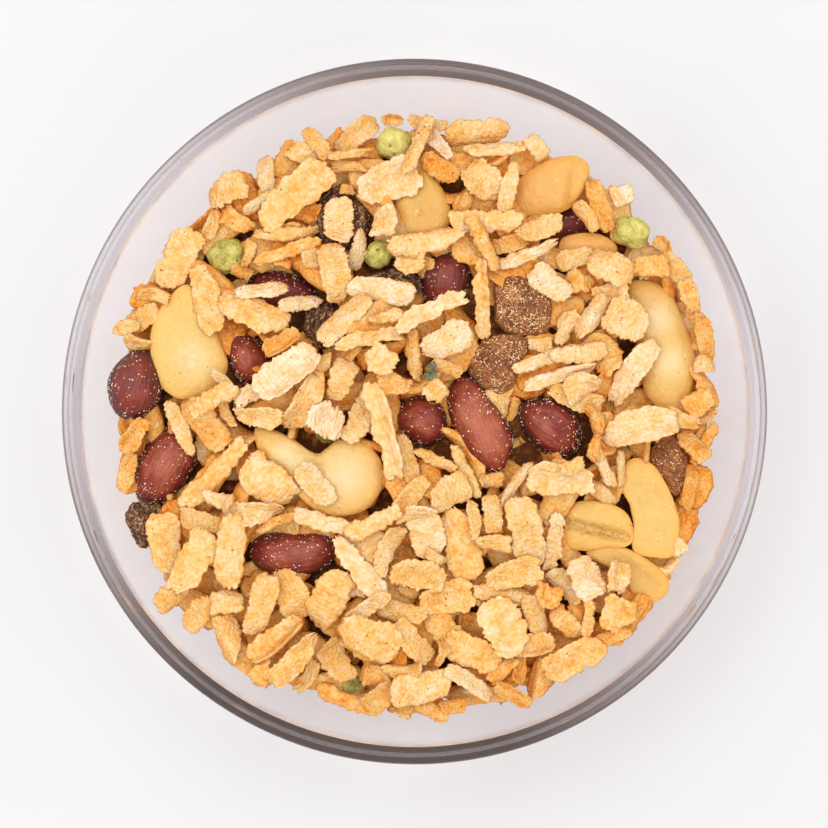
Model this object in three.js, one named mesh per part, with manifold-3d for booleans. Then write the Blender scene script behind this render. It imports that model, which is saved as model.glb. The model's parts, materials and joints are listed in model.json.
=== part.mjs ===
// A clear glass bowl heaped with toasted rice flakes, skin-on peanuts, cashew halves, raisins and
// puffed peas. Millimetres, +Z up. The origin is on the table, under the middle of the bowl.
import * as THREE from "three";
import { mergeVertices } from "three/addons/utils/BufferGeometryUtils.js";
import Module from "manifold-3d";

const wasm = await Module();
wasm.setup();

// Bowl
const RIM_RADIUS = 55;
const BOWL_HEIGHT = 52;
const RIM_THICKNESS = 2.8;
const INNER_FLOOR_RADIUS = 25;
const FLOOR_THICKNESS = 5.5;
const INNER_BULGE = { radius: 45.5, height: 20 };
const FOOT_RADIUS = 27;
const FOOT_HEIGHT = 2.6;
const FOOT_SPREAD = 1.2;
const OUTER_BULGE = { radius: 49.2, height: 18 };
const FOOT_RECESS_RADIUS = 22;
const FOOT_RECESS_DEPTH = 0.8;
const BOWL_SEGMENTS = 52;
const WALL_STEPS = 5;
const RIM_STEPS = 4;

// Heap of flakes
const HEAP_RADIUS = 48.3;
const HEAP_EDGE_HEIGHT = 38;
const HEAP_CROWN = 6.5;
const CORE_SINK = 2.3;
const CORE_SIDE_GAP = 2.6;
const CORE_FLOOR_GAP = 2.2;
const CORE_SEGMENTS = 30;
const CORE_WALL_STEPS = 4;
const CORE_TOP_STEPS = 3;
const PIECE_GAP = 0.45;
const HOLLOW_GAP = 0.9;
const GLASS_GAP = 0.68;

// Flakes
const FLAKE_LENGTH = [9, 13];
const FLAKE_WIDTH = [4, 5.8];
const FLAKE_THICKNESS = [1.5, 2.1];
const FLAKE_SIDES = 6;
const FLAKE_RAGGEDNESS = 0.16;
const FLAKE_CURL = [0.2, 1.1];
const FLAKE_TILT = 0.34;
const FLAKE_SINK = [-0.2, 0.4];
const TOP_FLAKES = 168;
const TOP_FLAKE_REACH = 44;
const EDGE_FLAKES = 26;
const EDGE_FLAKE_RADIUS = 44.2;
const SIDE_FLAKE_ROWS = [
  { height: 18, count: 10 },
  { height: 27, count: 12 },
  { height: 35, count: 14 },
];
const SIDE_TILT = 0.05;
const SHORTENED = 0.66;
const FLAKE_TURNS = 5;
const SEED = 20517;

// Large pieces: place of the middle, turn of the long side in degrees, length and width, and how far
// the top stands above the heap's surface. Nod tips the long side, lean rolls the piece about it.
const PEANUTS = [
  { name: "peanut_left", at: [-43.8, 3.6], turn: 72, size: [11.4, 8.5], rise: 4.9 },
  { name: "peanut_lower_left", at: [-39.8, -8.8], turn: 61, size: [14, 9], rise: 1.6 },
  { name: "peanut_low", at: [-19.3, -22.3], turn: 2, size: [14.6, 7.9], rise: 1.2 },
  { name: "peanut_upper_left", at: [-21.2, 20.2], turn: -15, size: [13, 8.6], rise: -1.4 },
  { name: "peanut_mid_left", at: [-25.4, 8.4], turn: 112, size: [12, 8], rise: -0.6 },
  { name: "peanut_centre", at: [0.8, -1.5], turn: -30, size: [11.6, 8.4], rise: 0.4, nod: 48 },
  { name: "peanut_long", at: [10.2, -2.4], turn: 113, size: [16.6, 8.6], rise: 1.4 },
  { name: "peanut_right", at: [21.5, -2.6], turn: -35, size: [12.6, 9.2], rise: 0.6 },
  { name: "peanut_top", at: [4.9, 21.5], turn: 80, size: [12, 7.8], rise: 0 },
  { name: "peanut_deep", at: [25, 30.6], turn: 20, size: [9.6, 6.4], rise: -4.4 },
];
const CASHEWS = [
  { name: "cashew_left", at: [-35.1, 12], turn: 97, size: [18.4, 11.4], bend: 0.06, rise: 1.2, lean: 6 },
  { name: "cashew_top", at: [1, 33.6], turn: 110, size: [14.6, 9], bend: 0.1, rise: 0, nod: -8 },
  { name: "cashew_upper_right", at: [22, 34.5], turn: 25, size: [12.8, 8.8], bend: 0.1, rise: 1.6, nod: 6 },
  { name: "cashew_right", at: [39.6, 10.4], turn: 102, size: [21.5, 11], bend: 0.16, rise: 1.2, lean: 8 },
  { name: "cashew_lower_right", at: [37, -16.2], turn: -66, size: [16, 6.8], bend: 0.2, rise: 1.4 },
  { name: "cashew_inner", at: [28.8, -16.8], turn: -8, size: [11, 5.8], bend: 0.12, rise: 0.8 },
  { name: "cashew_low", at: [31.4, -24.9], turn: -30, size: [16, 6.8], bend: 0.22, rise: 1.4 },
  { name: "cashew_centre", at: [-15.3, -9.2], turn: 160, size: [21, 9.4], bend: 0.2, rise: 0.6 },
  { name: "cashew_shaded", at: [26.7, 26.3], turn: -5, size: [9.4, 6.2], bend: 0.1, rise: -1 },
];
const GOLDEN_RAISINS = [
  { name: "raisin_golden_upper", at: [17.5, 17.2], turn: 70, size: [10.2, 9.2], rise: 0.8 },
  { name: "raisin_golden_lower", at: [14.2, 7.9], turn: 20, size: [9.4, 8.6], rise: 0.2 },
  { name: "raisin_right", at: [41.2, -6.9], turn: 100, size: [9.4, 6.2], rise: 1.4 },
];
const DARK_RAISINS = [
  { name: "raisin_dark_left", at: [-42.2, -18.2], turn: 111, size: [7, 4.4], rise: 2.8 },
  { name: "raisin_dark_top", at: [-11.6, 31], turn: 75, size: [11, 9.2], rise: -0.4 },
  { name: "raisin_dark_mid", at: [-15.8, 13.8], turn: 60, size: [7.6, 6.2], rise: -1 },
  { name: "raisin_upper", at: [-4, 19.8], turn: -5, size: [8.4, 5], rise: -0.6 },
];
const PEAS = [
  { name: "pea_top", at: [-3.3, 43], turn: 0, size: [5.8, 5.5], rise: 0.8 },
  { name: "pea_left", at: [-30.2, 24.8], turn: 20, size: [6.4, 5.9], rise: 0.4 },
  { name: "pea_middle", at: [-5.8, 25], turn: 50, size: [4.9, 4.6], rise: -0.2 },
  { name: "pea_right", at: [34.7, 28.6], turn: -12, size: [6.4, 5.4], rise: 3 },
  { name: "pea_low", at: [-10.1, -43], turn: 35, size: [5.4, 5], rise: -0.6 },
  { name: "pea_by_cashew", at: [-13.6, -2.8], turn: 0, size: [5, 4.8], rise: -2.6 },
  { name: "pea_by_peanut", at: [-13.2, -28], turn: 80, size: [5, 4.7], rise: -1.2 },
];
const CASHEW_THICKNESS = 0.78;
const CASHEW_FLATNESS = 0.45;
const CASHEW_BLUNTNESS = 0.7;
const KIDNEY_BALANCE = 0.4;
const RAISIN_THICKNESS = 0.78;
const RAISIN_WRINKLE = 0.07;
const PEA_LUMPINESS = 0.05;
const PEANUT_BLUNTNESS = 0.82;
const PEANUT_TAPER = 0.09;

// Facets of the large pieces, and of the roomier hollows they sit in.
const PIECE_FACETS = { around: 10, along: 6, detail: 1, swell: 1 };
const HOLLOW_FACETS = { around: 6, along: 4, detail: 0, swell: 1.24 };

// Colours
const GLASS_COLOUR = 0xdfe6e4;
const FLAKE_COLOUR = 0xe0a85c;
const PEANUT_COLOUR = 0x8f4636;
const CASHEW_COLOUR = 0xefc27c;
const GOLDEN_RAISIN_COLOUR = 0xae7753;
const DARK_RAISIN_COLOUR = 0x5a3326;
const PEA_COLOUR = 0xa79a3c;

// A repeatable source of fractions between 0 and 1.
function fractionSource(seed) {
  let state = seed >>> 0;
  return function next() {
    state = (state + 0x6d2b79f5) >>> 0;
    let mixed = Math.imul(state ^ (state >>> 15), state | 1);
    mixed ^= mixed + Math.imul(mixed ^ (mixed >>> 7), mixed | 61);
    return ((mixed ^ (mixed >>> 14)) >>> 0) / 4294967296;
  };
}

const next = fractionSource(SEED);

function between(range) {
  return range[0] + (range[1] - range[0]) * next();
}

function radians(degrees) {
  return THREE.MathUtils.degToRad(degrees);
}

// Height of the heap's visible surface at a distance from the middle.
function heapHeight(radius) {
  const share = radius / HEAP_RADIUS;
  return HEAP_EDGE_HEIGHT + HEAP_CROWN * (1 - share * share);
}

function wallCurve(foot, bulge, rim) {
  return new THREE.QuadraticBezierCurve(
    new THREE.Vector2(foot.radius, foot.height),
    new THREE.Vector2(bulge.radius, bulge.height),
    new THREE.Vector2(rim.radius, rim.height),
  );
}

const rimRound = RIM_THICKNESS / 2;
const rimBase = BOWL_HEIGHT - rimRound;
const innerWall = wallCurve(
  { radius: INNER_FLOOR_RADIUS, height: FLOOR_THICKNESS },
  INNER_BULGE,
  { radius: RIM_RADIUS - RIM_THICKNESS, height: rimBase },
);
const outerWall = wallCurve(
  { radius: FOOT_RADIUS + FOOT_SPREAD, height: FOOT_HEIGHT },
  OUTER_BULGE,
  { radius: RIM_RADIUS, height: rimBase },
);

// Share of the way up the inside wall at which it passes a height.
function wallShareAt(height) {
  const first = FLOOR_THICKNESS - 2 * INNER_BULGE.height + rimBase;
  const second = 2 * (INNER_BULGE.height - FLOOR_THICKNESS);
  const third = FLOOR_THICKNESS - height;
  const root = Math.sqrt(Math.max(second * second - 4 * first * third, 0));
  return THREE.MathUtils.clamp((root - second) / (2 * first), 0, 1);
}

function innerRadiusAt(height) {
  return innerWall.getPoint(wallShareAt(height)).x;
}

// A closed solid from a geometry, with seams joined and slivers at the poles left out.
function solidOf(geometry) {
  const bare = geometry.clone();
  bare.deleteAttribute("normal");
  bare.deleteAttribute("uv");
  const joined = mergeVertices(bare, 1e-4);
  const corners = joined.index.array;
  const kept = [];
  for (let i = 0; i < corners.length; i += 3) {
    const [a, b, c] = [corners[i], corners[i + 1], corners[i + 2]];
    if (a !== b && b !== c && c !== a) {
      kept.push(a, b, c);
    }
  }
  return new wasm.Manifold(new wasm.Mesh({
    numProp: 3,
    vertProperties: new Float32Array(joined.attributes.position.array),
    triVerts: new Uint32Array(kept),
  }));
}

function geometryOf(solid) {
  const mesh = solid.getMesh();
  const geometry = new THREE.BufferGeometry();
  geometry.setAttribute("position", new THREE.BufferAttribute(mesh.vertProperties, mesh.numProp));
  geometry.setIndex(new THREE.BufferAttribute(mesh.triVerts, 1));
  geometry.computeVertexNormals();
  return geometry;
}

function material(colour, roughness, extra = {}) {
  return new THREE.MeshStandardMaterial({ color: colour, roughness, metalness: 0, ...extra });
}

// Moves every point of a geometry by a rule.
function reshape(geometry, rule) {
  const positions = geometry.attributes.position;
  const point = new THREE.Vector3();
  for (let i = 0; i < positions.count; i += 1) {
    point.fromBufferAttribute(positions, i);
    rule(point);
    positions.setXYZ(i, point.x, point.y, point.z);
  }
  return geometry;
}

function bowlGeometry() {
  const profile = [
    new THREE.Vector2(0, FOOT_RECESS_DEPTH),
    new THREE.Vector2(FOOT_RECESS_RADIUS, FOOT_RECESS_DEPTH),
    new THREE.Vector2(FOOT_RECESS_RADIUS + FOOT_RECESS_DEPTH, 0),
    new THREE.Vector2(FOOT_RADIUS, 0),
  ];
  for (let i = 0; i <= WALL_STEPS; i += 1) {
    profile.push(outerWall.getPoint(i / WALL_STEPS));
  }
  for (let i = 1; i < RIM_STEPS; i += 1) {
    const angle = (Math.PI * i) / RIM_STEPS;
    const radius = RIM_RADIUS - rimRound + rimRound * Math.cos(angle);
    profile.push(new THREE.Vector2(radius, rimBase + rimRound * Math.sin(angle)));
  }
  for (let i = 0; i <= WALL_STEPS; i += 1) {
    profile.push(innerWall.getPoint(1 - i / WALL_STEPS));
  }
  profile.push(new THREE.Vector2(0, FLOOR_THICKNESS));
  return new THREE.LatheGeometry(profile, BOWL_SEGMENTS).rotateX(Math.PI / 2);
}

function coreGeometry() {
  const floor = FLOOR_THICKNESS + CORE_FLOOR_GAP;
  const shoulder = HEAP_EDGE_HEIGHT - CORE_SINK;
  const profile = [new THREE.Vector2(0, floor)];
  for (let i = 0; i <= CORE_WALL_STEPS; i += 1) {
    const height = floor + ((shoulder - floor) * i) / CORE_WALL_STEPS;
    profile.push(new THREE.Vector2(innerRadiusAt(height) - CORE_SIDE_GAP, height));
  }
  const edge = profile[profile.length - 1].x;
  for (let i = CORE_TOP_STEPS - 1; i >= 0; i -= 1) {
    const radius = (edge * i) / CORE_TOP_STEPS;
    profile.push(new THREE.Vector2(radius, heapHeight(radius) - CORE_SINK));
  }
  return new THREE.LatheGeometry(profile, CORE_SEGMENTS).rotateX(Math.PI / 2);
}

// A skinned kernel: a round body, blunt at both ends and a little slimmer towards its beak.
function peanutGeometry({ size: [length, width] }, { around, along, swell }, gap) {
  const profile = [];
  for (let i = 0; i <= along; i += 1) {
    const angle = (Math.PI * i) / along;
    const onAxis = i === 0 || i === along;
    const girth = Math.pow(Math.sin(angle), PEANUT_BLUNTNESS) * (1 - PEANUT_TAPER * Math.cos(angle));
    const radius = onAxis ? 0 : girth * swell * (width / 2 + gap);
    profile.push(new THREE.Vector2(radius, -Math.cos(angle) * swell * (length / 2 + gap)));
  }
  return new THREE.LatheGeometry(profile, around).rotateZ(Math.PI / 2);
}

// Half a cashew: a kidney bent along an arc, blunt at both ends and flat on its lower side.
function cashewGeometry({ size: [length, width], bend }, { around, along, swell }, gap) {
  const sweep = 2 * Math.atan(2 * bend);
  const arc = length / 2 / Math.sin(sweep);
  const middle = arc * (1 - KIDNEY_BALANCE + KIDNEY_BALANCE * Math.cos(sweep));
  const geometry = new THREE.SphereGeometry(1, around + 2, along).rotateX(Math.PI / 2);
  return reshape(geometry, (point) => {
    const blunt = Math.sqrt(1 + CASHEW_BLUNTNESS * point.x * point.x);
    const lower = point.z < 0 ? CASHEW_FLATNESS : 1;
    const outward = arc + point.y * blunt * swell * (width / 2 + gap);
    const angle = point.x * swell * (sweep + gap / arc);
    point.z *= blunt * swell * ((width / 2) * CASHEW_THICKNESS * lower + gap);
    point.x = outward * Math.sin(angle);
    point.y = outward * Math.cos(angle) - middle;
  });
}

// A lumpy ball, drawn out to a length, a width and a height.
function lumpGeometry(sizes, lump, { detail, swell }, gap) {
  return reshape(new THREE.IcosahedronGeometry(1, detail), (point) => {
    const wave = Math.sin(5 * point.x + 2 * point.z) * Math.cos(6 * point.y - point.x);
    point.multiplyScalar(swell * (1 + lump * wave));
    point.x *= sizes[0] / 2 + gap;
    point.y *= sizes[1] / 2 + gap;
    point.z *= sizes[2] / 2 + gap;
  });
}

function raisinGeometry({ size: [length, width] }, facets, gap) {
  return lumpGeometry([length, width, width * RAISIN_THICKNESS], RAISIN_WRINKLE, facets, gap);
}

function peaGeometry({ size: [length, width] }, facets, gap) {
  return lumpGeometry([length, width, width], PEA_LUMPINESS, facets, gap);
}

// Sets a large piece in the heap, so that its top stands as far above the surface as its row says.
function placePiece(shape, row, look) {
  const turned = new THREE.Euler(radians(row.lean ?? 0), radians(row.nod ?? 0), radians(row.turn), "ZYX");
  const solid = solidOf(shape(row, PIECE_FACETS, 0));
  const probe = geometryOf(solid).applyMatrix4(new THREE.Matrix4().makeRotationFromEuler(turned));
  probe.computeBoundingBox();
  const mesh = new THREE.Mesh(geometryOf(solid), look);
  mesh.name = row.name;
  mesh.rotation.copy(turned);
  mesh.position.set(...row.at, heapHeight(Math.hypot(...row.at)) + row.rise - probe.boundingBox.max.z);
  mesh.updateMatrixWorld();
  const hollow = shape(row, HOLLOW_FACETS, HOLLOW_GAP).applyMatrix4(mesh.matrixWorld);
  const guard = shape(row, PIECE_FACETS, PIECE_GAP).applyMatrix4(mesh.matrixWorld);
  guard.computeBoundingSphere();
  return { mesh, hollow: solidOf(hollow), guard: solidOf(guard), reach: guard.boundingSphere };
}

// A toasted flake: a ragged oblong plate, a little curled.
function flakeGeometry(length, width, thickness, curl) {
  const rags = Array.from({ length: FLAKE_SIDES }, () => 1 + FLAKE_RAGGEDNESS * (2 * next() - 1));
  const geometry = new THREE.SphereGeometry(1, FLAKE_SIDES, 3).rotateX(Math.PI / 2);
  return reshape(geometry, (point) => {
    const side = Math.round((Math.atan2(point.y, point.x) / (2 * Math.PI)) * FLAKE_SIDES);
    const rag = rags[(side + FLAKE_SIDES) % FLAKE_SIDES];
    const outward = Math.hypot(point.x, point.y);
    point.x *= (length / 2) * rag;
    point.y *= (width / 2) * rag;
    point.z = (point.z * thickness) / 2 - curl * outward * outward;
  });
}

// A flake laid on the core at a foot point, facing along a direction, turned and tipped.
function layFlake(geometry, foot, facing, turn, tip, lift) {
  const stand = new THREE.Quaternion().setFromUnitVectors(new THREE.Vector3(0, 0, 1), facing);
  const spin = new THREE.Quaternion().setFromEuler(new THREE.Euler(tip[0], tip[1], turn, "ZYX"));
  const matrix = new THREE.Matrix4().compose(
    foot.clone().addScaledVector(facing, lift),
    stand.multiply(spin),
    new THREE.Vector3(1, 1, 1),
  );
  return geometry.clone().applyMatrix4(matrix);
}

function clearOfGlass(geometry) {
  const positions = geometry.attributes.position;
  for (let i = 0; i < positions.count; i += 1) {
    const height = positions.getZ(i);
    const radius = Math.hypot(positions.getX(i), positions.getY(i));
    if (height < FLOOR_THICKNESS + GLASS_GAP || radius > innerRadiusAt(height) - GLASS_GAP) {
      return false;
    }
  }
  return true;
}

function clearOfPieces(geometry, solid, pieces) {
  geometry.computeBoundingSphere();
  const near = pieces.filter(({ reach }) => reach.intersectsSphere(geometry.boundingSphere));
  return near.every(({ guard }) => solid.intersect(guard).isEmpty());
}

// Lays one flake, turning and then shortening it until it is clear of the glass and the large pieces.
function flakeAt(foot, facing, turn, tilt, pieces) {
  const thickness = between(FLAKE_THICKNESS);
  const sizes = [between(FLAKE_LENGTH), between(FLAKE_WIDTH)];
  const curl = between(FLAKE_CURL);
  const lift = thickness / 2 - between(FLAKE_SINK);
  const tip = [tilt * (2 * next() - 1), tilt * (2 * next() - 1)];
  for (const share of [1, SHORTENED]) {
    const flake = flakeGeometry(sizes[0] * share, sizes[1] * share, thickness, curl * share);
    for (let step = 0; step < FLAKE_TURNS; step += 1) {
      const laid = layFlake(flake, foot, facing, turn + (step * Math.PI) / FLAKE_TURNS, tip, lift);
      const solid = solidOf(laid);
      if (clearOfGlass(laid) && clearOfPieces(laid, solid, pieces)) {
        return solid;
      }
    }
  }
  return null;
}

// One flake on the heap's rounded top.
function topFlake(radius, angle, turn, pieces) {
  const slope = (2 * HEAP_CROWN * radius) / (HEAP_RADIUS * HEAP_RADIUS);
  const foot = new THREE.Vector3(radius * Math.cos(angle), radius * Math.sin(angle), 0);
  foot.z = heapHeight(radius) - CORE_SINK;
  const facing = new THREE.Vector3(slope * Math.cos(angle), slope * Math.sin(angle), 1).normalize();
  return flakeAt(foot, facing, turn, FLAKE_TILT, pieces);
}

// Flakes over the top, spread evenly by the golden angle, and a ring of them along the glass.
function topFlakes(pieces) {
  const goldenAngle = Math.PI * (3 - Math.sqrt(5));
  const flakes = [];
  for (let i = 0; i < TOP_FLAKES; i += 1) {
    const radius = TOP_FLAKE_REACH * Math.sqrt((i + 0.5) / TOP_FLAKES);
    flakes.push(topFlake(radius, i * goldenAngle, next() * Math.PI * 2, pieces));
  }
  for (let i = 0; i < EDGE_FLAKES; i += 1) {
    const angle = ((i + 0.4 * next()) / EDGE_FLAKES) * 2 * Math.PI;
    flakes.push(topFlake(EDGE_FLAKE_RADIUS, angle, angle + Math.PI / 2, pieces));
  }
  return flakes.filter(Boolean);
}

// Flakes lying flat against the glass, in rows up the side.
function sideFlakes(pieces) {
  const flakes = [];
  SIDE_FLAKE_ROWS.forEach(({ height, count }, row) => {
    const along = innerWall.getTangent(wallShareAt(height));
    for (let i = 0; i < count; i += 1) {
      const angle = ((i + row / 2) / count) * 2 * Math.PI;
      const radius = innerRadiusAt(height) - CORE_SIDE_GAP;
      const foot = new THREE.Vector3(radius * Math.cos(angle), radius * Math.sin(angle), height);
      const facing = new THREE.Vector3(along.y * Math.cos(angle), along.y * Math.sin(angle), -along.x);
      flakes.push(flakeAt(foot, facing.normalize(), next() * Math.PI * 2, SIDE_TILT, pieces));
    }
  });
  return flakes.filter(Boolean);
}

// The heap: the core with a hollow for each large piece, and the flakes that show fused on.
function heapGeometry(pieces) {
  const hollows = wasm.Manifold.union(pieces.map(({ hollow }) => hollow));
  const core = solidOf(coreGeometry()).subtract(hollows);
  const flakes = [...topFlakes(pieces), ...sideFlakes(pieces)];
  const fused = wasm.Manifold.union([core, ...flakes]);
  const bodies = fused.decompose().sort((a, b) => b.volume() - a.volume());
  return geometryOf(bodies[0]);
}

const looks = {
  glass: material(GLASS_COLOUR, 0.05, { transparent: true, opacity: 0.35 }),
  flake: material(FLAKE_COLOUR, 0.8),
  peanut: material(PEANUT_COLOUR, 0.5),
  cashew: material(CASHEW_COLOUR, 0.55),
  goldenRaisin: material(GOLDEN_RAISIN_COLOUR, 0.55),
  darkRaisin: material(DARK_RAISIN_COLOUR, 0.35),
  pea: material(PEA_COLOUR, 0.8),
};

const pieces = [
  ...PEANUTS.map((row) => placePiece(peanutGeometry, row, looks.peanut)),
  ...CASHEWS.map((row) => placePiece(cashewGeometry, row, looks.cashew)),
  ...GOLDEN_RAISINS.map((row) => placePiece(raisinGeometry, row, looks.goldenRaisin)),
  ...DARK_RAISINS.map((row) => placePiece(raisinGeometry, row, looks.darkRaisin)),
  ...PEAS.map((row) => placePiece(peaGeometry, row, looks.pea)),
];

const bowl = new THREE.Mesh(geometryOf(solidOf(bowlGeometry())), looks.glass);
bowl.name = "bowl";
const heap = new THREE.Mesh(heapGeometry(pieces), looks.flake);
heap.name = "flake_heap";

const group = new THREE.Group();
group.name = "snack_mix_bowl";
group.add(bowl, heap, ...pieces.map(({ mesh }) => mesh));

export default group;
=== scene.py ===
"""Bowl of snack mix: a glass bowl heaped with toasted flakes, nuts, raisins and puffed peas."""

import json
import math

import bmesh
import bpy
import numpy as np
from bpy.props import FloatProperty, FloatVectorProperty, IntProperty, PointerProperty
from mathutils import Euler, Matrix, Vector, noise

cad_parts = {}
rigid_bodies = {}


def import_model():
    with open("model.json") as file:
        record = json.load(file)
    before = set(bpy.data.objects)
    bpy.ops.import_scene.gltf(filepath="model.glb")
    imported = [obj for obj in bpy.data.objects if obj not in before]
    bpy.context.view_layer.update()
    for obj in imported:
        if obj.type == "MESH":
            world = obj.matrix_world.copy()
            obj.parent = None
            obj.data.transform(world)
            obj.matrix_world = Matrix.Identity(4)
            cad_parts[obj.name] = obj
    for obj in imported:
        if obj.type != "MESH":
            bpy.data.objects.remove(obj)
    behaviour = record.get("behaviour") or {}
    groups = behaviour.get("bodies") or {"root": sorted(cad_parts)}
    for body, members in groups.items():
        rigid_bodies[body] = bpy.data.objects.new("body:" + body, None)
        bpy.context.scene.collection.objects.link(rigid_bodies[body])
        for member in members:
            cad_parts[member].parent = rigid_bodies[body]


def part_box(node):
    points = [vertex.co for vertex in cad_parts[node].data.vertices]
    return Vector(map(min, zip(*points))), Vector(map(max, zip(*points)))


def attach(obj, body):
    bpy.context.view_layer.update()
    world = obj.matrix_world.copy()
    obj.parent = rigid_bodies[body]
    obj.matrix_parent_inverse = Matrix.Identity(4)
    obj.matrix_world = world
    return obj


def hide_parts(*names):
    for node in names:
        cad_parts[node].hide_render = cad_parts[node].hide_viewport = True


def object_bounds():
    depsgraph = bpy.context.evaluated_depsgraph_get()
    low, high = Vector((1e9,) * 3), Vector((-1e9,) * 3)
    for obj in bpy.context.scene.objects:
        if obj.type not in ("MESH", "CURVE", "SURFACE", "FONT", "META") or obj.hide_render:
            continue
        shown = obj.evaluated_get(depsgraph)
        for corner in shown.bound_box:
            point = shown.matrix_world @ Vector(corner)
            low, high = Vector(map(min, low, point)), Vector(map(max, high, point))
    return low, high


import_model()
CAD_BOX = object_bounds()

bl_info = {
    "name": "Bowl of snack mix",
    "version": (1, 0, 0),
    "blender": (4, 5, 0),
    "location": "View3D > Sidebar > Snack mix",
    "description": "Builds a glass bowl heaped with toasted flakes, nuts, raisins and puffed peas",
    "category": "Object",
}

MM = 0.001
PICTURE_SIDE = 828
PICTURE_BOWL_MIDDLE = (414.5, 411.5)
PICTURE_RIM_RADIUS = 354

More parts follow.
